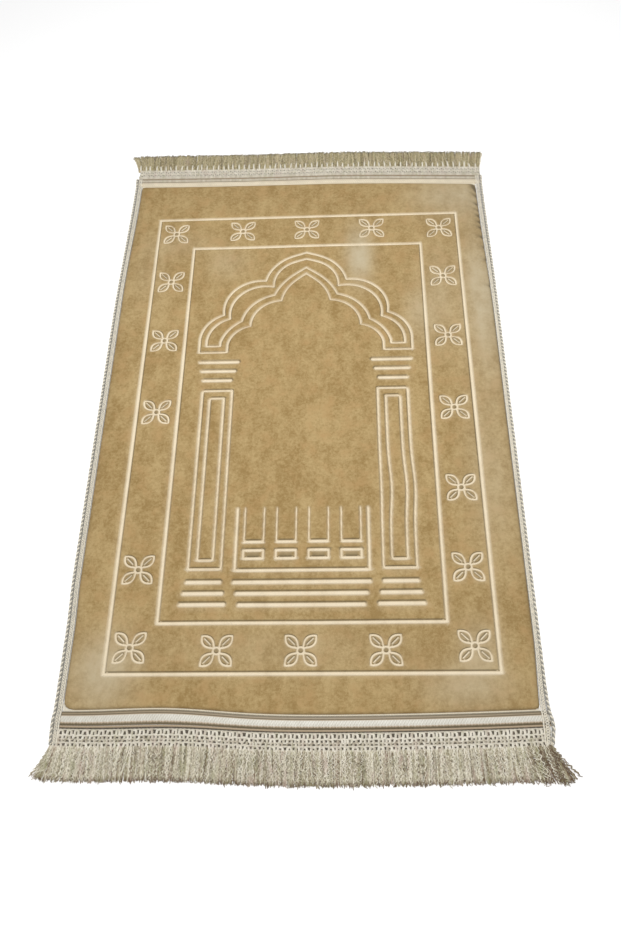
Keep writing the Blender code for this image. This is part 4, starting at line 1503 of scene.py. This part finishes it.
def ties_piece(end):
    """The pale loops that tie the roots of the yarns to the heading."""
    rng = np.random.default_rng(20 + end)
    low, high = trim_span(end)
    count = int((high - low) / CLUMP_PITCH)
    centre = low + (np.arange(count) + 0.5) * CLUMP_PITCH + rng.normal(0, 0.9 * MM, count)
    share = np.linspace(0, 1, TIE_STEPS)
    reach = TIE_END + rng.normal(0, 2.2 * MM, count)
    distance = TIE_START + (reach[:, None] - TIE_START) * share
    x = centre[:, None] + rng.normal(0, 1.3 * MM, count)[:, None] * share
    z = np.broadcast_to(TIE_LIE + TIE_HUMP * np.sin(np.pi * share) - TIE_DROP * share, x.shape)
    bundle = Bundle()
    bundle.sweep(np.stack([x, trim_y(end, x, distance), z], axis=-1), TIE_RADIUS, sides=8, lobe=0.15,
                 taper=np.interp(share, *TIE_TAPER), pitch=7 * MM, tone=rng.uniform(0.75, 1, count))
    return bundle.piece("root_ties_" + ENDS[end])


# ---------------------------------------------------------------- stage

FLOOR_HALF = 6
CAMERA_PLACE = (75.4 * MM, -837.5 * MM, 1262.8 * MM)
CAMERA_TURN = (30.096, 2.606, 0.511)
CAMERA_LENS = 34.22
Lamp = namedtuple("Lamp", "name place size aim")
LAMP = Lamp("soft_lamp", (0.0, 0.2, 1.35), 0.4, (0, 0.2, 0))
FILL = Lamp("front_fill", (0.0, -1.6, 1.5), 1.4, (0, -0.35, 0))


def add_floor(stage):
    """A plain pale floor just under the rug."""
    corners = ((-1, -1), (1, -1), (1, 1), (-1, 1))
    points = [(x * FLOOR_HALF, y * FLOOR_HALF, -GAP) for x, y in corners]
    floor = mesh_object("floor", points, [(0, 1, 2, 3)])
    finish = Finish("floor_white", Roughness=0.9, Emission_Strength=stage.floor_glow)
    finish.color((0.93, 0.93, 0.93))
    finish.shader.inputs["Emission Color"].default_value = (1, 1, 1, 1)
    floor.data.materials.append(finish.material)


def add_lamp(lamp, power):
    """A round area light that shines at a point and isn't seen itself."""
    data = bpy.data.lights.new(lamp.name, "AREA")
    data.shape = "DISK"
    data.size = lamp.size
    data.energy = power
    light = bpy.data.objects.new(lamp.name, data)
    light.location = lamp.place
    light.rotation_euler = (Vector(lamp.aim) - Vector(lamp.place)).to_track_quat("-Z", "Y").to_euler()
    light.visible_camera = False
    bpy.context.scene.collection.objects.link(light)


def add_lights(stage):
    """A soft lamp over the rug, a wide fill in front of it, and white surroundings."""
    add_lamp(LAMP, stage.lamp_power)
    add_lamp(FILL, stage.fill_power)
    world = bpy.data.worlds.new("white_room")
    world.use_nodes = True
    sky = world.node_tree.nodes["Background"]
    sky.inputs["Color"].default_value = (1, 1, 1, 1)
    sky.inputs["Strength"].default_value = stage.sky_strength
    bpy.context.scene.world = world
    bpy.context.scene.view_settings.view_transform = "Standard"


def add_camera():
    """The camera at the photograph's viewing angle."""
    data = bpy.data.cameras.new("camera")
    data.lens = CAMERA_LENS
    data.clip_start = 0.05
    camera = bpy.data.objects.new("camera", data)
    camera.location = placed([CAMERA_PLACE])[0]
    camera.rotation_euler = [math.radians(angle) for angle in CAMERA_TURN]
    bpy.context.scene.collection.objects.link(camera)
    bpy.context.scene.camera = camera


# ---------------------------------------------------------------- add-on

class RugColors(bpy.types.PropertyGroup):
    """Colours of the rug's cloth and yarns."""

    velvet_dark: FloatVectorProperty(
        name="Velvet dark", description="Deeper tone of the plush", subtype="COLOR",
        default=(0.335, 0.215, 0.075))
    velvet_light: FloatVectorProperty(
        name="Velvet light", description="Lighter tone of the plush", subtype="COLOR",
        default=(0.51, 0.365, 0.165))
    velvet_warm: FloatVectorProperty(
        name="Warm velvet", description="Redder patches of the plush", subtype="COLOR",
        default=(0.46, 0.285, 0.115))
    # Colour of the pale brushed pile, also painted as light over the near end.
    velvet_brushed_and_lit: FloatVectorProperty(
        name="Brushed velvet", description="Pile that is brushed the other way", subtype="COLOR",
        default=(0.58, 0.49, 0.325))
    # Colour of the painted shade beside the lines, in the creases and at the rim.
    velvet_shade: FloatVectorProperty(
        name="Parted velvet", description="Deep pile beside the pressed lines", subtype="COLOR",
        default=(0.135, 0.105, 0.055))
    # Colour of the painted shade inside the flowers and windows.
    petal_shade: FloatVectorProperty(
        name="Petal shade", description="Dark pile inside the flowers", subtype="COLOR",
        default=(0.27, 0.205, 0.11))
    # Cream of the pressed floors, also painted as light on the lines' lit walls.
    pressed_and_lit_cream: FloatVectorProperty(
        name="Pressed lines", description="Floor of the pressed lines", subtype="COLOR",
        default=(0.87, 0.755, 0.56))
    satin_light: FloatVectorProperty(
        name="Satin light", description="Lit satin of the tapes", subtype="COLOR",
        default=(0.87, 0.85, 0.76))
    satin_far: FloatVectorProperty(
        name="Far satin light", description="Lit satin of the far tape", subtype="COLOR",
        default=(0.95, 0.83, 0.62))
    satin_shade: FloatVectorProperty(
        name="Satin shade", description="Shaded satin of the tapes", subtype="COLOR",
        default=(0.42, 0.37, 0.28))
    # Colour of the lips, painted as the shadow in the gaps beside the tape.
    lip_shadow: FloatVectorProperty(
        name="Tape lips", description="Flat lips beside the padded tape", subtype="COLOR",
        default=(0.12, 0.095, 0.05))
    lip_light: FloatVectorProperty(
        name="Tape lip threads", description="Lighter threads of the flat lips", subtype="COLOR",
        default=(0.27, 0.215, 0.125))
    lip_peach: FloatVectorProperty(
        name="Tape seam", description="Peach thread of the tape's seam and fold", subtype="COLOR",
        default=(0.56, 0.43, 0.30))


class RugYarnColors(bpy.types.PropertyGroup):
    """Colours of the rug's yarns, from their dark to their light threads."""

    __annotations__ = {
        key + "_" + level: FloatVectorProperty(
            name="%s, %s" % (yarn.label, level),
            description="Colour of the %s threads in the %s" % (level, yarn.label.lower()),
            subtype="COLOR", default=getattr(yarn, level))
        for key, yarn in YARNS.items() for level in TONES
    }


class RugSizes(bpy.types.PropertyGroup):
    """Sizes of the pile and the fringes, and how much yarn the fringes have."""

    pile_top: FloatProperty(
        name="Pile height", description="Height of the plush between its pressed lines",
        unit="LENGTH", default=6.0 * MM, min=4 * MM, max=15 * MM)
    groove_depth: FloatProperty(
        name="Groove depth", description="How deep the widest lines are pressed into the plush",
        unit="LENGTH", default=2.6 * MM, min=0, max=4 * MM)
    near_fringe: FloatProperty(
        name="Near fringe", description="Reach of the near yarns from where they leave the heading",
        unit="LENGTH", default=51.5 * MM, min=20 * MM, max=100 * MM)
    far_fringe: FloatProperty(
        name="Far fringe", description="Reach of the far yarns from where they leave the heading",
        unit="LENGTH", default=48 * MM, min=20 * MM, max=100 * MM)
    near_yarns: IntProperty(
        name="Near yarns", description="Loose yarns in the fringe of the near end",
        default=1330, min=200, max=1700)
    far_yarns: IntProperty(
        name="Far yarns", description="Loose yarns in the fringe of the far end",
        default=1100, min=200, max=1700)


class RugStage(bpy.types.PropertyGroup):
    """Lights and floor round the rug."""

    lamp_power: FloatProperty(
        name="Lamp power", description="Power of the soft lamp over the rug", unit="POWER",
        default=11)
    fill_power: FloatProperty(
        name="Fill power", description="Power of the wide light in front of the rug", unit="POWER",
        default=11.5)
    sky_strength: FloatProperty(
        name="Sky", description="Strength of the white surroundings", default=0.36)
    floor_glow: FloatProperty(
        name="Floor glow", description="Light that the white floor gives of itself", default=0.4)


def dress(piece, material, node):
    """Give a piece its finish, and let it stand for its solid."""
    piece.data.materials.append(material)
    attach(piece, "root")
    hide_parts(node)
    return piece


class RUG_OT_velvet(bpy.types.Operator):
    """Build the embossed velvet panel."""

    bl_idname = "rug.velvet"
    bl_label = "Velvet panel"

    def execute(self, context):
        finish = velvet_finish(context.scene.rug_colors)
        dress(velvet_piece(context.scene.rug_sizes), finish, "velvet_panel")
        return {"FINISHED"}


class RUG_OT_braids(bpy.types.Operator):
    """Build the plaited braids along both sides."""

    bl_idname = "rug.braids"
    bl_label = "Side braids"

    def execute(self, context):
        finish = yarn_finish("braid", context.scene.rug_yarn_colors)
        for side, label in SIDES.items():
            dress(braid_piece(side), finish, "braid_" + label)
        return {"FINISHED"}


class RUG_OT_cords(bpy.types.Operator):
    """Build the pipings and thin cords of both ends."""

    bl_idname = "rug.cords"
    bl_label = "Pipings and cords"

    def execute(self, context):
        cream = yarn_finish("piping", context.scene.rug_yarn_colors)
        tan = yarn_finish("tan", context.scene.rug_yarn_colors)
        for end, label in ENDS.items():
            low, high = trim_span(end)
            inside = (low + TRIM_OVERHANG + 2 * GAP, high - TRIM_OVERHANG - 2 * GAP)
            radius = PIPING_SIZES[end]
            piping = cord_piece("piping_cord_" + label, end, GAP + CORD_LIE * radius, radius, inside,
                                PIPING_TONE, PIPING_PITCH)
            dress(piping, cream, "piping_" + label)
            cord = cord_piece("thin_cord_" + label, end, CORD_START + CORD_RADIUS, CORD_RADIUS,
                              (low, high), THIN_CORD_TONES[end], THIN_CORD_PITCH)
            dress(cord, tan, "tan_cord_" + label)
        return {"FINISHED"}


class RUG_OT_tapes(bpy.types.Operator):
    """Build the satin tapes of both ends."""

    bl_idname = "rug.tapes"
    bl_label = "Satin tapes"

    def execute(self, context):
        look = context.scene.rug_colors
        finishes = {NEAR: satin_finish("near_satin", look.satin_light, look),
                    FAR: satin_finish("far_satin", look.satin_far, look)}
        for end, label in ENDS.items():
            dress(tape_piece(end), finishes[end], "tape_" + label)
        return {"FINISHED"}


class RUG_OT_fringes(bpy.types.Operator):
    """Build the crocheted headings and the yarn fringes."""

    bl_idname = "rug.fringes"
    bl_label = "Headings and fringes"

    def execute(self, context):
        colors, sizes = context.scene.rug_yarn_colors, context.scene.rug_sizes
        lace, pale = yarn_finish("lace", colors), yarn_finish("tie", colors)
        yarns = {end: yarn_finish(label, colors) for end, label in ENDS.items()}
        amounts = {NEAR: sizes.near_yarns, FAR: sizes.far_yarns}
        lengths = {NEAR: sizes.near_fringe, FAR: sizes.far_fringe}
        for end, label in ENDS.items():
            node = "fringe_" + label
            dress(heading_piece(end), lace, node)
            for layer in LAYERS:
                piece = fringe_piece(end, layer, amounts[end], lengths[end])
                dress(piece, yarns[end], node)
        dress(ties_piece(FAR), pale, "fringe_far")
        return {"FINISHED"}


class RUG_OT_stage(bpy.types.Operator):
    """Build the floor, the soft light and the camera."""

    bl_idname = "rug.stage"
    bl_label = "Stage"

    def execute(self, context):
        stage = context.scene.rug_stage
        add_floor(stage)
        add_lights(stage)
        add_camera()
        return {"FINISHED"}


class RUG_PT_panel(bpy.types.Panel):
    """Lists the rug's pieces in the sidebar."""

    bl_idname = "RUG_PT_panel"
    bl_label = "Prayer Rug"
    bl_space_type = "VIEW_3D"
    bl_region_type = "UI"
    bl_category = "Prayer Rug"

    def draw(self, context):
        """Show every property, and a button for each group of pieces."""
        for name, group in GROUPS.items():
            for key in group.__annotations__:
                self.layout.prop(getattr(context.scene, name), key)
        for operator in OPERATORS:
            self.layout.operator(operator.bl_idname)


GROUPS = {
    "rug_sizes": RugSizes,
    "rug_colors": RugColors,
    "rug_yarn_colors": RugYarnColors,
    "rug_stage": RugStage,
}
OPERATORS = (RUG_OT_stage, RUG_OT_velvet, RUG_OT_braids, RUG_OT_cords, RUG_OT_tapes, RUG_OT_fringes)


def register():
    """Make the rug's properties, operators and panel known to Blender."""
    for cls in (*GROUPS.values(), *OPERATORS, RUG_PT_panel):
        bpy.utils.register_class(cls)
    for key, group in GROUPS.items():
        setattr(bpy.types.Scene, key, PointerProperty(type=group))


def unregister():
    """Take the rug's properties, operators and panel out of Blender again."""
    for key in GROUPS:
        delattr(bpy.types.Scene, key)
    for cls in reversed((*GROUPS.values(), *OPERATORS, RUG_PT_panel)):
        bpy.utils.unregister_class(cls)


def declare_cloth():
    """Work out each tape's width and each end's span, and keep neither."""
    for end, label in ENDS.items():
        low, high = trim_span(end)
        width = TAPE_FOLDS[end][-1].distance - TAPE_FOLDS[end][0].distance
        high - low


def main():
    register()
    for operator in OPERATORS:
        getattr(bpy.ops.rug, operator.bl_idname.split(".")[1])()
    declare_cloth()


if __name__ == "__main__":
    main()
